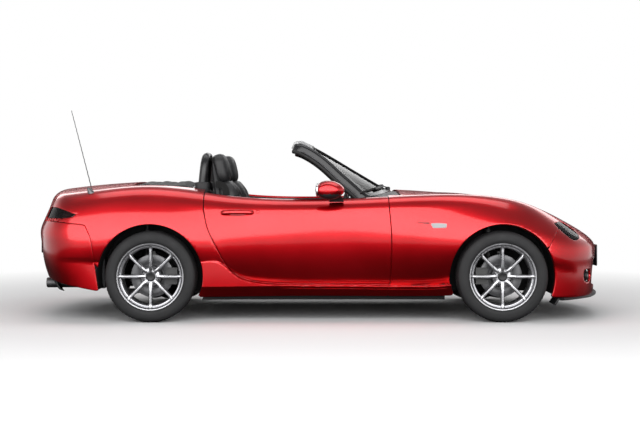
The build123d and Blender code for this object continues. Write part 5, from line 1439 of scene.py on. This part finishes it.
def buildSteeringWheel():
    # rim, boss, spokes and column, tilted about a line across the car
    centre = np.array(cabin["wheelAt"])
    look = np.array([-math.cos(cabin["column"]), 0, math.sin(cabin["column"])])
    side = np.array([0, 1.0, 0])
    upward = np.cross(look, side)
    upward = upward if upward[2] > 0 else -upward
    q = np.linspace(0, 2 * math.pi, 96, endpoint=False)
    loop = centre + cabin["wheelRadius"] * (np.cos(q)[:, None] * side + np.sin(q)[:, None] * upward)
    rim = tube(loop, 0.0155, 20, closed=True)
    piece("steeringRim", [rim], dashLeather, "steering_wheel", ["steering_wheel"])
    spokes = []
    for y, z in ((1, 0.06), (-1, 0.06), (0, -1)):
        way = side * y + upward * z
        way /= np.linalg.norm(way)
        across = np.cross(look, way)
        rings = []
        for r, w, d, sink in ((0.03, 0.034, 0.018, -0.024), (0.08, 0.024, 0.015, -0.02),
                              (0.13, 0.016, 0.012, -0.01), (0.176, 0.017, 0.012, 0.0)):
            rect = roundedRect(2 * w, d, 0.005)
            rings.append([centre + way * r + look * (sink + b) + across * a for a, b in rect])
        spokes.append(loft(smoothRings(rings, 16)))
    axes = np.array([side, upward, look])
    piece("steeringSpokes", spokes, satinBlack, "steering_wheel")
    pad = blob(centre - look * 0.01, (0.128, 0.118, 0.046), 2.8, 24, 40, axes)
    piece("steeringPad", [pad], dashLeather, "steering_wheel")
    piece("steeringShaft", [tube([centre - look * 0.262, centre - look * 0.03], 0.016, 20)], armSteel,
          "steering_wheel")
    shroud = tube([centre - look * 0.19, centre - look * 0.15, centre - look * 0.075],
                  [0.04, 0.046, 0.043], 28)
    piece("columnShroud", [shroud], dashPlastic)
    stalks = [tube([centre - look * 0.085 + side * s * 0.03,
                    centre - look * 0.07 + side * s * 0.095 + upward * 0.01,
                    centre - look * 0.06 + side * s * 0.145 + upward * 0.018], [0.006, 0.006, 0.008], 12)
              for s in (1, -1)]
    piece("columnStalks", stalks, satinBlack)


def buildConsole():
    # a section carried along the tunnel, with lever, ring, gaiter and hand brake
    rings = []
    for x, top, half in ((-0.6, 0.508, 0.086), (-0.56, 0.52, 0.098), (-0.46, 0.526, 0.099),
                         (-0.4, 0.512, 0.096), (-0.32, 0.474, 0.092), (-0.2, 0.47, 0.092),
                         (0.0, 0.476, 0.094), (0.12, 0.482, 0.097), (0.185, 0.486, 0.098),
                         (0.24, 0.496, 0.099)):
        rings.append([(x, y, z) for y, z in ((half, 0.402), (half, top - 0.045),
                                             (half - 0.004, top - 0.018), (half - 0.014, top - 0.005),
                                             (half - 0.03, top), (0, top + 0.003), (-half + 0.03, top),
                                             (-half + 0.014, top - 0.005), (-half + 0.004, top - 0.018),
                                             (-half, top - 0.045), (-half, 0.402))])
    piece("consoleBody", [loft(smoothRings(rings, 60))], dashPlastic, "root", ["console"], 35)
    pad = block((-0.505, 0, 0.533), (0.175, 0.17, 0.026), 0.03, 0.012)
    piece("consolePad", [pad], dashLeather)
    gaiter = []
    for k, t in enumerate(np.linspace(0, 1, 10)):
        q = np.linspace(0, 2 * math.pi, 40, endpoint=False)
        r = 0.05 * (1 - t) ** 0.8 + 0.011
        fold = 1 + 0.05 * np.sin(4 * q + k * 1.3) * (1 - t)
        gaiter.append(np.column_stack([-0.06 + r * fold * np.cos(q) * 1.15, r * fold * np.sin(q),
                                       np.full(40, 0.474 + 0.062 * t)]))
    piece("gearGaiter", [loft(gaiter)], dashLeather)
    piece("gearLever", [tube([(-0.06, 0, 0.5), (-0.06, 0, 0.56)], 0.007, 12),
                        blob((-0.06, 0, 0.578), (0.046, 0.044, 0.052), 2.2, 20, 32)], satinBlack)
    gearRing = [(-0.06 + 0.062 * math.cos(a), 0.053 * math.sin(a), 0.479)
                for a in np.linspace(0, 2 * math.pi, 60, endpoint=False)]
    piece("gearRing", [tube(gearRing, 0.004, 8, closed=True)], brightTrim)
    brake = tube(smoothLine([(-0.36, -0.052, 0.486), (-0.3, -0.052, 0.502), (-0.2, -0.052, 0.528),
                             (-0.145, -0.052, 0.54)], 24), [0.011] * 8 + [0.013] * 16, 14)
    piece("handBrake", [brake], dashLeather)


def pillow(centre, size, power, axes, crown):
    # a closed cushion: a flat superellipsoid whose face swells between its edges
    shape = blob((0, 0, 0), size, power, 40, 72)
    p = shape[0]
    u, v = p[:, 0] / (size[0] / 2), p[:, 1] / (size[1] / 2)
    swell = np.clip(1 - u ** 4, 0, 1) * np.clip(1 - v ** 4, 0, 1)
    p = p + np.column_stack([0 * u, 0 * u, crown(u, v) * swell * (p[:, 2] > 0)])
    return placed((p, shape[1]), axes, centre)


def stuffed(name, shape, material, limit=0.008, voxel=0.009):
    # blows a cushion up like cloth under pressure, but never further than the limit
    made = meshObject(name, *shape, material, 0)
    remesh = made.modifiers.new("remesh", "REMESH")
    remesh.mode, remesh.voxel_size = "VOXEL", voxel
    graph = bpy.context.evaluated_depsgraph_get()
    mesh = bpy.data.meshes.new_from_object(made.evaluated_get(graph))
    made.modifiers.clear()
    made.data = mesh
    start = meshPoints(mesh)
    cloth = made.modifiers.new("cloth", "CLOTH")
    cloth.settings.use_pressure = True
    cloth.settings.uniform_pressure_force = 4.0
    cloth.settings.effector_weights.gravity = 0.0
    cloth.settings.quality = 4
    cloth.point_cache.frame_start, cloth.point_cache.frame_end = 1, 20
    for step in range(1, 21):
        bpy.context.scene.frame_set(step)
    graph = bpy.context.evaluated_depsgraph_get()
    end = meshPoints(made.evaluated_get(graph).to_mesh())
    made.modifiers.clear()
    bpy.context.scene.frame_set(1)
    move = end - start
    length = np.linalg.norm(move, axis=1, keepdims=True)
    move *= np.minimum(1, limit / np.maximum(length, 1e-9))
    mesh.vertices.foreach_set("co", (start + move).ravel())
    mesh.update()
    points = meshPoints(made.data)
    faces = [tuple(f.vertices) for f in made.data.polygons]
    bpy.data.objects.remove(made)
    return points, faces


def fluted(shape, axes, centre, half, pitch, depth):
    # presses sewn channels across the middle of a cushion's face
    points, faces = shape
    local = (points - centre) @ np.asarray(axes).T
    normal = np.asarray(axes)[2]
    ends = np.clip(1 - (np.abs(local[:, 1]) / half[1]) ** 8, 0, 1)
    across = np.clip(1 - (np.abs(local[:, 0]) / half[0]) ** 8, 0, 1) * ends
    groove = np.exp(-((local[:, 1] / pitch + 0.5) % 1 - 0.5) ** 2 / 0.006)
    edge = np.exp(-((np.abs(local[:, 0]) - half[0]) / 0.004) ** 2) * ends
    sink = depth * np.maximum(groove * across, edge) * (local[:, 2] > 0)
    return points - normal * sink[:, None], faces


def buildSeats():
    lean = math.radians(12.5)
    back = np.array([[0, 1.0, 0], [-math.sin(lean), 0, math.cos(lean)],
                     [math.cos(lean), 0, math.sin(lean)]])
    flatAxes = np.array([[0, 1.0, 0], [0.995, 0, 0.1], [-0.1, 0, 0.995]])
    y = cabin["seatY"]

    def bolster(u, v):
        return 0.034 * smoothStep(0.52, 0.84, np.abs(u)) - 0.004

    def thigh(u, v):
        return 0.026 * smoothStep(0.56, 0.86, np.abs(u)) + 0.004 * v
    backAt, baseAt, headAt = (-0.585, y, 0.64), (-0.255, y, 0.318), (-0.683, y, 1.01)
    shapes = {
        "seatBack": pillow(backAt, (0.452, 0.6, 0.13), 4.5, back, bolster),
        "seatBase": pillow(baseAt, (0.452, 0.5, 0.13), 4.5, flatAxes, thigh),
        "seatHead": pillow(headAt, (0.262, 0.208, 0.096), 3.4, back, lambda u, v: 0.01 + 0 * u),
    }
    made = {}
    for name, shape in shapes.items():
        made[name] = stuffed(name, shape, seatLeather, 0.009, 0.0085)
    made["seatBack"] = fluted(made["seatBack"], back, np.array(backAt), (0.112, 0.245), 0.062, 0.006)
    made["seatBase"] = fluted(made["seatBase"], flatAxes, np.array(baseAt), (0.115, 0.205), 0.062, 0.006)
    for tag in ("Left", "Right"):
        for name, shape in made.items():
            use = shape if tag == "Left" else outward(flippedY(shape))
            m = meshObject(name + tag, use[0], use[1], seatLeather, 0)
            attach(m, "root")
            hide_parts("seat_" + tag.lower())
    shell = []
    for z, xBack, xFront, half in ((0.3, -0.622, -0.56, 0.19), (0.42, -0.645, -0.585, 0.212),
                                   (0.6, -0.68, -0.618, 0.214), (0.8, -0.712, -0.655, 0.206),
                                   (0.93, -0.733, -0.682, 0.16), (1.02, -0.741, -0.708, 0.118),
                                   (1.075, -0.741, -0.716, 0.1)):
        shell.append([((xBack + xFront) / 2 + a * (xFront - xBack), y + b * 2 * half, z)
                      for a, b in roundedRect(1.0, 1.0, 0.32)])
    base = block((-0.285, y, 0.236), (0.5, 0.42, 0.09), 0.04, 0.02)
    rails = [block((-0.3, y + d, 0.199), (0.56, 0.03, 0.017), 0.004, 0.002) for d in (-0.17, 0.17)]
    pair("seatShell", [loft(smoothRings(shell, 30)), base], dashPlastic)
    pair("seatRails", rails, armSteel)
    belt = smoothLine([(-0.7, y + 0.215, 0.905), (-0.66, y + 0.222, 0.9), (-0.628, y + 0.236, 0.76),
                       (-0.56, y + 0.246, 0.56), (-0.5, y + 0.249, 0.36), (-0.49, y + 0.249, 0.215)], 60)
    pair("seatBelt", [tube(belt, 0.0225, 12, 0.045, [0.3, 0.95, 0.0])], darkFabric)
    buckle = block((-0.43, y - 0.243, 0.43), (0.03, 0.085, 0.014), 0.006, 0.003,
                   [[1, 0, 0], [0, 0, 1.0], [0, -1.0, 0]])
    pair("seatBuckle", [buckle], satinBlack)


def buildHoops():
    # two bent bars with pads, a shelf across the car and a net between them
    x, half = cabin["hoopX"], cabin["hoopHalf"]
    for tag, side in (("Left", 1), ("Right", -1)):
        y = side * cabin["seatY"]
        path = smoothLine([(x - 0.01, y - half - 0.008, 0.8), (x + 0.004, y - half, 0.92),
                           (x + 0.014, y - half + 0.006, 1.02), (x + 0.022, y - half + 0.04, 1.082),
                           (x + 0.026, y - half + 0.095, 1.0955), (x + 0.026, y, 1.097),
                           (x + 0.026, y + half - 0.095, 1.0955), (x + 0.022, y + half - 0.04, 1.082),
                           (x + 0.014, y + half - 0.006, 1.02), (x + 0.004, y + half, 0.92),
                           (x - 0.01, y + half + 0.008, 0.8)], 120)
        bar = tube(path, 0.0275, 24, 1.0)
        piece("rollHoop" + tag, [bar], satinBlack, "root", ["roll_hoops"])
        foot = [block((x + 0.002, y + s * half, 0.886), (0.094, 0.09, 0.07), 0.03, 0.012)
                for s in (1, -1)]
        inner = block((x + 0.012, y, 0.975), (0.262, 0.19, 0.01), 0.045, 0.003,
                      [[0, 1, 0], [0.07, 0, 0.997], [0.997, 0, -0.07]])
        piece("hoopPad" + tag, foot + [inner], dashPlastic)
    shelf = []
    for y in np.linspace(-0.597, 0.597, 60):
        zTop = 0.872 - 0.016 * (abs(y) / 0.6) ** 4
        shelf.append([(x + a, y, z) for a, z in ((0.044, 0.7), (0.044, zTop - 0.022),
                                                 (0.04, zTop - 0.008), (0.03, zTop - 0.001),
                                                 (0.0, zTop + 0.002), (-0.03, zTop - 0.001),
                                                 (-0.04, zTop - 0.008), (-0.044, zTop - 0.022),
                                                 (-0.044, 0.7))])
    piece("hoopShelf", [loft(shelf)], dashPlastic, "root", ["roll_hoops"])
    frameLine = [(x + 0.008, -0.215, 0.87), (x + 0.008, -0.215, 1.0), (x + 0.008, -0.19, 1.036),
                 (x + 0.008, 0.0, 1.042), (x + 0.008, 0.19, 1.036), (x + 0.008, 0.215, 1.0),
                 (x + 0.008, 0.215, 0.87)]
    bars = [tube(smoothLine(frameLine, 80), 0.0085, 12)]
    for k in range(1, 26):
        y = -0.215 + 0.43 * k / 26
        bars.append(tube([(x + 0.008, y, 0.872), (x + 0.008, y, 1.03)], 0.0016, 6))
    for k in range(1, 10):
        z = 0.872 + 0.165 * k / 10
        bars.append(tube([(x + 0.008, -0.213, z), (x + 0.008, 0.213, z)], 0.0016, 6))
    piece("windDeflector", bars, meshPlastic)


def clothSheet(centre, thickness):
    # a closed sheet: a grid of centre points, set off to both sides along its normals, its edge joined
    rows, columns = centre.shape[:2]
    n = np.cross(np.gradient(centre, axis=0), np.gradient(centre, axis=1))
    n /= np.linalg.norm(n, axis=2, keepdims=True)
    points = np.concatenate([(centre + n * thickness / 2).reshape(-1, 3),
                             (centre - n * thickness / 2).reshape(-1, 3)])
    upper = gridFaces(rows, columns)
    count = rows * columns
    k = np.arange(count).reshape(rows, columns)
    rim = np.concatenate([k[0, :], k[1:, -1], k[-1, -2::-1], k[-2:0:-1, 0]])
    turn = np.roll(rim, -1)
    wall = np.stack([rim, turn, turn + count, rim + count], axis=1)
    return outward((points, upper.tolist() + (upper[:, ::-1] + count).tolist() + wall.tolist()))


def buildTop():
    # the folded soft top is one long sheet laid to and fro: its line goes back, round a fold and forward
    # again, its upper layer lies under the body's surface, with shallow waves that run across the car
    stack = {"front": -0.868, "rear": -1.236, "half": 0.594, "layers": 3, "pitch": 0.017, "fold": 0.0075}
    y = np.linspace(-stack["half"], stack["half"], 56)
    line = []
    for layer in range(stack["layers"]):
        a, b = (stack["front"], stack["rear"]) if layer % 2 == 0 else (stack["rear"], stack["front"])
        line += [(x, layer * stack["pitch"]) for x in np.linspace(a, b, 40)]
        if layer < stack["layers"] - 1:
            turn = np.linspace(0, math.pi, 12)[1:-1]
            side = 1 if b > a else -1
            line += [(b + side * stack["fold"] * math.sin(t),
                      layer * stack["pitch"] + stack["pitch"] * (1 - math.cos(t)) / 2)
                     for t in turn]
    line = np.array(line)
    x, drop = (np.repeat(line[:, k, None], len(y), axis=1) for k in (0, 1))
    across = np.repeat(y[None, :], len(line), axis=0)
    top = topCast(x.ravel(), across.ravel())[:, 2].reshape(x.shape)
    edge = smoothStep(0.0, 0.07, stack["half"] - np.abs(across))
    wave = 0.0042 * np.sin(x * 52 + 1.6 * np.cos(across * 3.1)) + 0.002 * np.sin(x * 118 + across * 6.0)
    ends = smoothStep(0.0, 0.05, x - stack["rear"]) * smoothStep(0.0, 0.05, stack["front"] - x)
    sag = 0.006 * np.exp(-((x + 1.045) / 0.055) ** 2)
    centre = np.stack([x, across, top - 0.004 - 0.02 * (1 - edge) - drop + (wave - sag) * ends
                       - 0.006 * (1 - ends)], axis=2)
    cover = piece("foldedTop", [clothSheet(centre, 0.003)], topFabric, "root", ["folded_top"], 0)
    y = np.linspace(-0.56, 0.56, 60)
    rail = topCast(np.full(60, -0.866), y) + [0, 0, -0.02]
    piece("topRail", [tube(rail, 0.014, 14, 0.6, [0, 0, 1.0])], satinBlack)


def buildSmallOuter():
    # aerial, front lip, grille, diffuser, tailpipes, plates and lid handle
    lean = math.radians(14.5)
    start = np.array([-1.516, -0.7, 0.868])
    way = np.array([-math.sin(lean), 0, math.cos(lean)])
    mast = start + way * np.linspace(0, 0.545, 40)[:, None]
    sections = ((0.034, 0.838), (0.032, 0.852), (0.026, 0.864), (0.018, 0.876), (0.011, 0.884))
    turns = np.linspace(0, 2 * math.pi, 32, endpoint=False)
    base = loft([[(start[0] + w / 2 * math.cos(a) * 1.5 - k * 0.006, start[1] + w / 2 * math.sin(a), z)
                  for a in turns] for k, (w, z) in enumerate(sections)])
    piece("antennaBase", [base], discIron, "root", ["antenna"])
    coil = mast + 0.0009 * np.column_stack([np.cos(np.arange(40) * 2.1), np.sin(np.arange(40) * 2.1),
                                            np.zeros(40)])
    piece("antennaMast", [tube(coil, np.linspace(0.0032, 0.0022, 40), 10)], satinBlack, "root",
          ["antenna"])
    # front lip: a blade that follows the plan of the nose
    y = np.concatenate([np.linspace(-0.8, -0.62, 10)[:-1], np.linspace(-0.62, 0.62, 50),
                        np.linspace(0.62, 0.8, 10)[1:]])
    plan = curve["nosePlan"](np.abs(y)) - 0.03
    rings = []
    for yy, x in zip(y, plan):
        reach = 0.036 - 0.012 * smoothStep(0.45, 0.78, abs(yy))
        n = np.array([1.0, -(curve["nosePlan"](abs(yy) + 0.01) - curve["nosePlan"](abs(yy))) / 0.01
                      * np.sign(yy or 1.0), 0])
        n /= np.linalg.norm(n)
        rings.append([np.array([x, yy, 0]) + n * a + [0, 0, z] for a, z in (
            (-0.07, 0.1585), (0.0, 0.1595), (reach - 0.01, 0.16), (reach, 0.156), (reach + 0.003, 0.151),
            (reach - 0.006, 0.146), (0.0, 0.142), (-0.07, 0.141))])
    piece("frontLip", [loft(rings)], blackPlastic, "root", ["front_lip"])
    flap = block((1.56, 0.69, 0.132), (0.014, 0.19, 0.052), 0.006, 0.003,
                 [[0.85, 0, -0.53], [0, 1, 0], [0.53, 0, 0.85]])
    pair("wheelDeflector", [flap], blackPlastic)
    # grille: bars and uprights that follow the intake's back
    bars = []
    for k in range(9):
        z = 0.222 + 0.0195 * k
        y = np.linspace(-0.505, 0.505, 60)
        x = curve["nosePlan"](np.abs(y)) - 0.058
        bars.append(tube(np.column_stack([x, y, np.full(60, z)]), 0.003, 6, 0.7))
    for k in range(-24, 25):
        y = 0.0205 * k
        x = curve["nosePlan"](abs(y)) - 0.06
        bars.append(tube([(x, y, 0.21), (x, y, 0.39)], 0.0024, 6))
    y = np.linspace(-0.515, 0.515, 60)
    x = curve["nosePlan"](np.abs(y)) - 0.05
    for z in (0.206, 0.394):
        bars.append(tube(np.column_stack([x, y, np.full(60, z)]), 0.0085, 10))
    piece("grilleMesh", bars, meshPlastic, "root", ["grille"])
    # rear diffuser with fins and the tailpipes' ends
    rings = []
    for y in np.linspace(-0.597, 0.597, 60):
        x = curve["tailPlan"](abs(y)) + 0.088
        rings.append([(x + a, y, z) for a, z in ((-0.004, 0.292), (-0.006, 0.28), (0.0, 0.24),
                                                 (0.03, 0.196), (0.06, 0.186), (0.06, 0.192),
                                                 (0.034, 0.204), (0.012, 0.244), (0.01, 0.292))])
    fins = [block((-1.868 + 0.01 * abs(k), 0.16 * k, 0.222), (0.11, 0.07, 0.007), 0.012, 0.002,
                  onEdge)
            for k in (-2, -1, 0, 1, 2)]
    piece("rearDiffuser", [loft(rings)] + fins, blackPlastic, "root", ["diffuser"])
    tips = []
    for y in (-0.43, -0.51):
        tip = [(0.027, 0.0), (0.0275, 0.1), (0.029, 0.104), (0.0315, 0.1), (0.032, 0.0), (0.03, -0.01)]
        tips.append(placed(lathe(tip, (0, 0, 0), 48), facingBack, [-1.752, y, 0.236]))
    piece("tailpipeTips", tips, castIron)
    # blank plates, front and rear
    p = castOut(np.array([[1.2, 0.0, 0.4]]), np.array([[1.0, 0, 0]]))[0]
    plate = block((p[0] - 0.001, 0, 0.405), (0.44, 0.15, 0.009), 0.012, 0.002,
                  facingFront)
    piece("plateFront", [plate], satinBlack)
    p = castOut(np.array([[-1.2, 0.0, 0.48]]), np.array([[-1.0, 0, 0]]))[0]
    plate = block((p[0] + 0.002, 0, 0.485), (0.52, 0.12, 0.01), 0.012, 0.002,
                  facingFront)
    piece("plateRear", [plate], satinBlack)
    wing = block((-1.934, 0.0, 0.64), (0.42, 0.022, 0.014), 0.008, 0.004,
                 facingFront)
    piece("lidHandle", [wing], satinBlack)


bodyPanels()
print("stage: body panels")
buildWheels()
print("stage: wheels")
buildLamps()
buildHandles()
buildMirrors()
print("stage: lamps, handles, mirrors")
buildScreen()
buildCowl()
print("stage: windscreen")
buildDoorCores()
buildDash()
buildSteeringWheel()
buildConsole()
print("stage: cabin")
buildSeats()
buildHoops()
buildTop()
print("stage: seats and top")
buildSmallOuter()
print("stage: small outer parts")


steel = {
    # how deep under the skin it stays, how far outside is left alone, up to where its heights are kept
    "under": 0.014, "outside": 0.08, "keptBelow": 0.42,
    # the overhangs begin here, and stay this much above the skirt; the exhaust's mouth
    "rearOverhang": -1.44, "frontOverhang": 1.54, "aboveSkirt": 0.012, "exhaustEnd": -1.852,
    # cabin: jambs outside this y, carpet inside it and between the bulkheads
    "jambY": 0.662, "jambZ": 0.2, "carpetZ": 0.17, "carpetX": (-0.75, 0.6),
}


def fittedCore(name, levels, stations):
    # a structural solid's own mesh, cut into strips, with what would show through the skin drawn inside
    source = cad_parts[name]
    mesh = bmesh.new()
    mesh.from_mesh(source.data)
    bmesh.ops.remove_doubles(mesh, verts=mesh.verts, dist=0.00002)
    for along, places in (((0, 0, 1), levels), ((1, 0, 0), stations)):
        for place in places:
            geometry = mesh.verts[:] + mesh.edges[:] + mesh.faces[:]
            bmesh.ops.bisect_plane(mesh, geom=geometry, plane_co=[place * k for k in along],
                                   plane_no=along)
    bmesh.ops.triangulate(mesh, faces=mesh.faces[:])
    data = bpy.data.meshes.new(name + "Fitted")
    mesh.to_mesh(data)
    mesh.free()
    points = meshPoints(data)
    heights = points[:, 2].copy()
    for _ in range(4):
        depth = bodyField(points)
        near = (depth < steel["under"]) & (depth > -steel["outside"])
        short = np.where(near, steel["under"] - depth, 0)
        points = points - bodyNormal(points) * short[:, None]
        points[:, 2] = np.where(heights < steel["keptBelow"], heights, points[:, 2])
    x = points[:, 0]
    overhang = (x < steel["rearOverhang"]) | (x > steel["frontOverhang"])
    lowest = curve["bottomZ"](x) + steel["aboveSkirt"]
    points[:, 2] = np.where(overhang, np.maximum(points[:, 2], lowest), points[:, 2])
    faces = [tuple(f.vertices) for f in data.polygons]
    bpy.data.meshes.remove(data)
    return points, faces


def buildCores():
    # steel under the skin: red where the doors open, carpet in the cabin, black below
    fine = np.concatenate([np.arange(0.18, 0.23, 0.014), np.arange(0.23, 0.275, 0.0045),
                           np.arange(0.28, 0.42, 0.014)])
    strips = {
        "floor_pan": (fine, np.arange(-0.7, 0.6, 0.16)),
        "front_body": (fine, np.arange(0.62, 1.9, 0.12)),
        "rear_floor": (np.arange(0.19, 0.43, 0.016), np.arange(-1.9, -0.76, 0.12)),
        "rear_crossmember": (np.arange(0.19, 0.43, 0.016), np.arange(-1.12, -0.76, 0.12)),
        "rear_shelf": (np.arange(0.425, 0.44, 0.005), np.arange(-1.9, -0.76, 0.12)),
        "rear_body": (np.arange(0.45, 0.86, 0.03), np.arange(-1.9, -0.76, 0.12)),
    }
    for name, (levels, stations) in strips.items():
        points, faces = fittedCore(name, levels, stations)
        corners = points[np.array(faces)]
        normals = np.cross(corners[:, 1] - corners[:, 0], corners[:, 2] - corners[:, 0])
        normals /= np.maximum(np.linalg.norm(normals, axis=1, keepdims=True), 1e-12)
        x, y, z = corners.mean(axis=1).T
        pan = name == "floor_pan"
        jamb = pan & (np.abs(y) > steel["jambY"]) & (z > steel["jambZ"])
        back, front = steel["carpetX"]
        inside = pan & (np.abs(y) < steel["jambY"]) & (z > steel["carpetZ"]) & (x > back) & (x < front)
        look = np.where(jamb, 1, np.where(inside, 2, 0))
        core = meshObject(name + "Steel", points, faces, [linerPlastic, paint, carpet], 30, look)
        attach(core, "root")
        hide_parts(name)


def buildExhaust():
    # the pipe's own mesh, its mouth drawn in to the bumper's edge
    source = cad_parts["exhaust"].data
    points = meshPoints(source)
    points[:, 0] = np.maximum(points[:, 0], steel["exhaustEnd"])
    piece("exhaustPipes", [(points, [tuple(f.vertices) for f in source.polygons])], castIron, "root",
          ["exhaust"])


def dressNodes():
    # plain solids that stay as they are
    looks = {"engine": castIron, "front_axle": armSteel, "rear_axle": armSteel,
             "knuckle_left": armSteel, "knuckle_right": armSteel}
    for name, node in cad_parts.items():
        node.data.materials.clear()
        node.data.materials.append(looks.get(name, linerPlastic))


buildCores()
buildExhaust()
dressNodes()
print("stage: steel under the skin")


def studio():
    # pale floor, dark cloths for the reflections, an even sky and three softboxes
    light = {
        "floorSize": 60.0, "plainNear": 2.4, "whiteFar": 4.8, "worldLight": 0.14, "bounce": 0.3,
        # softboxes: place, tilt about x in degrees, size, strength in watts
        "boxes": {"near": ((0, -5.0, 2.2), 72, (11.0, 3.4), 360.0),
                  "far": ((0, 5.0, 3.0), -66, (11.0, 2.4), 130.0),
                  "ceiling": ((0, 0, 4.6), 0, (6.0, 2.4), 85.0)},
        # dark cloths that only reflections see, on the floor and upright behind:
        # x, then y and z of both edges
        "cloths": [(4.6, (-4.6, 0.004), (4.6, 0.004)), (5.5, (4.8, 0.0), (4.8, 2.2))],
    }
    size = light["floorSize"]
    floor = meshObject("studioFloor", [(-size, -size, 0), (size, -size, 0), (size, size, 0),
                                       (-size, size, 0)], [(0, 1, 2, 3)], None, 0)
    floor.data.materials.clear()
    s = Shader("floorPale")
    seen = s.seenRays()
    x, y = (s.node("ShaderNodeSeparateXYZ", output=k,
                   inputs={0: s.node("ShaderNodeTexCoord", output="Object")}) for k in (0, 1))
    away = (x * x + y * y).root()
    far = s.between(away, light["plainNear"], light["whiteFar"], 0.0, 1.0)
    pale = s.mix(seen, (light["bounce"],) * 3 + (1,), (0.93, 0.93, 0.935, 1))
    matt = s.principled(colour=pale, rough=0.9, specular=0.0)
    glow = s.node("ShaderNodeEmission", inputs={"Color": (1, 1, 1, 1), "Strength": 1.0})
    floor.data.materials.append(s.finish(s.node("ShaderNodeMixShader",
                                                inputs={0: seen * far, 1: matt, 2: glow})))
    s = Shader("darkCloth")
    cloth = s.finish(s.principled(colour=(0.03, 0.03, 0.03, 1), rough=1.0, specular=0.0))
    for k, (x, low, high) in enumerate(light["cloths"]):
        flag = meshObject(f"studioCloth{k}", [(-x, *low), (x, *low), (x, *high), (-x, *high)],
                          [(0, 1, 2, 3)], cloth, 0)
        for ray in ("camera", "diffuse", "shadow", "transmission"):
            setattr(flag, "visible_" + ray, False)
    world = bpy.data.worlds.new("studio")
    bpy.context.scene.world = world
    world.use_nodes = True
    s = Shader("worldLight", world.node_tree)
    dim = s.node("ShaderNodeBackground", inputs={"Color": (1, 1, 1, 1), "Strength": light["worldLight"]})
    height = s.node("ShaderNodeSeparateXYZ", output=2,
                    inputs={0: s.node("ShaderNodeTexCoord", output="Generated")})
    sky = s.mix(s.between(height, 0.22, 0.6, 0.0, 1.0), (1, 1, 1, 1), (0.3, 0.3, 0.31, 1))
    white = s.node("ShaderNodeBackground", inputs={"Color": sky, "Strength": 1.0})
    s.finish(s.node("ShaderNodeMixShader", inputs={0: s.seenRays(), 1: dim, 2: white}))
    for name, (place, tilt, extent, power) in light["boxes"].items():
        lamp = bpy.data.lights.new(name, "AREA")
        lamp.shape, lamp.size, lamp.size_y, lamp.energy = "RECTANGLE", extent[0], extent[1], power
        holder = bpy.data.objects.new(name, lamp)
        holder.location, holder.rotation_euler = place, (math.radians(tilt), 0, 0)
        holder.visible_camera = False
        bpy.context.scene.collection.objects.link(holder)


def camera():
    # level, square to the car's side, raised by a shift of the lens
    view = {"height": 0.931, "distance": 8.83, "lens": 68.77, "horizonRow": 180.5, "centreRow": 213.0,
            "columns": 640.0}
    data = bpy.data.cameras.new("sideCamera")
    data.sensor_width, data.lens = 36.0, view["lens"]
    data.shift_y = -(view["centreRow"] - view["horizonRow"]) / view["columns"]
    holder = bpy.data.objects.new("sideCamera", data)
    holder.location, holder.rotation_euler = (0, -view["distance"], view["height"]), (math.pi / 2, 0, 0)
    bpy.context.scene.collection.objects.link(holder)
    bpy.context.scene.camera = holder


studio()
camera()
bpy.context.scene.view_settings.view_transform = "Standard"
bpy.context.view_layer.update()
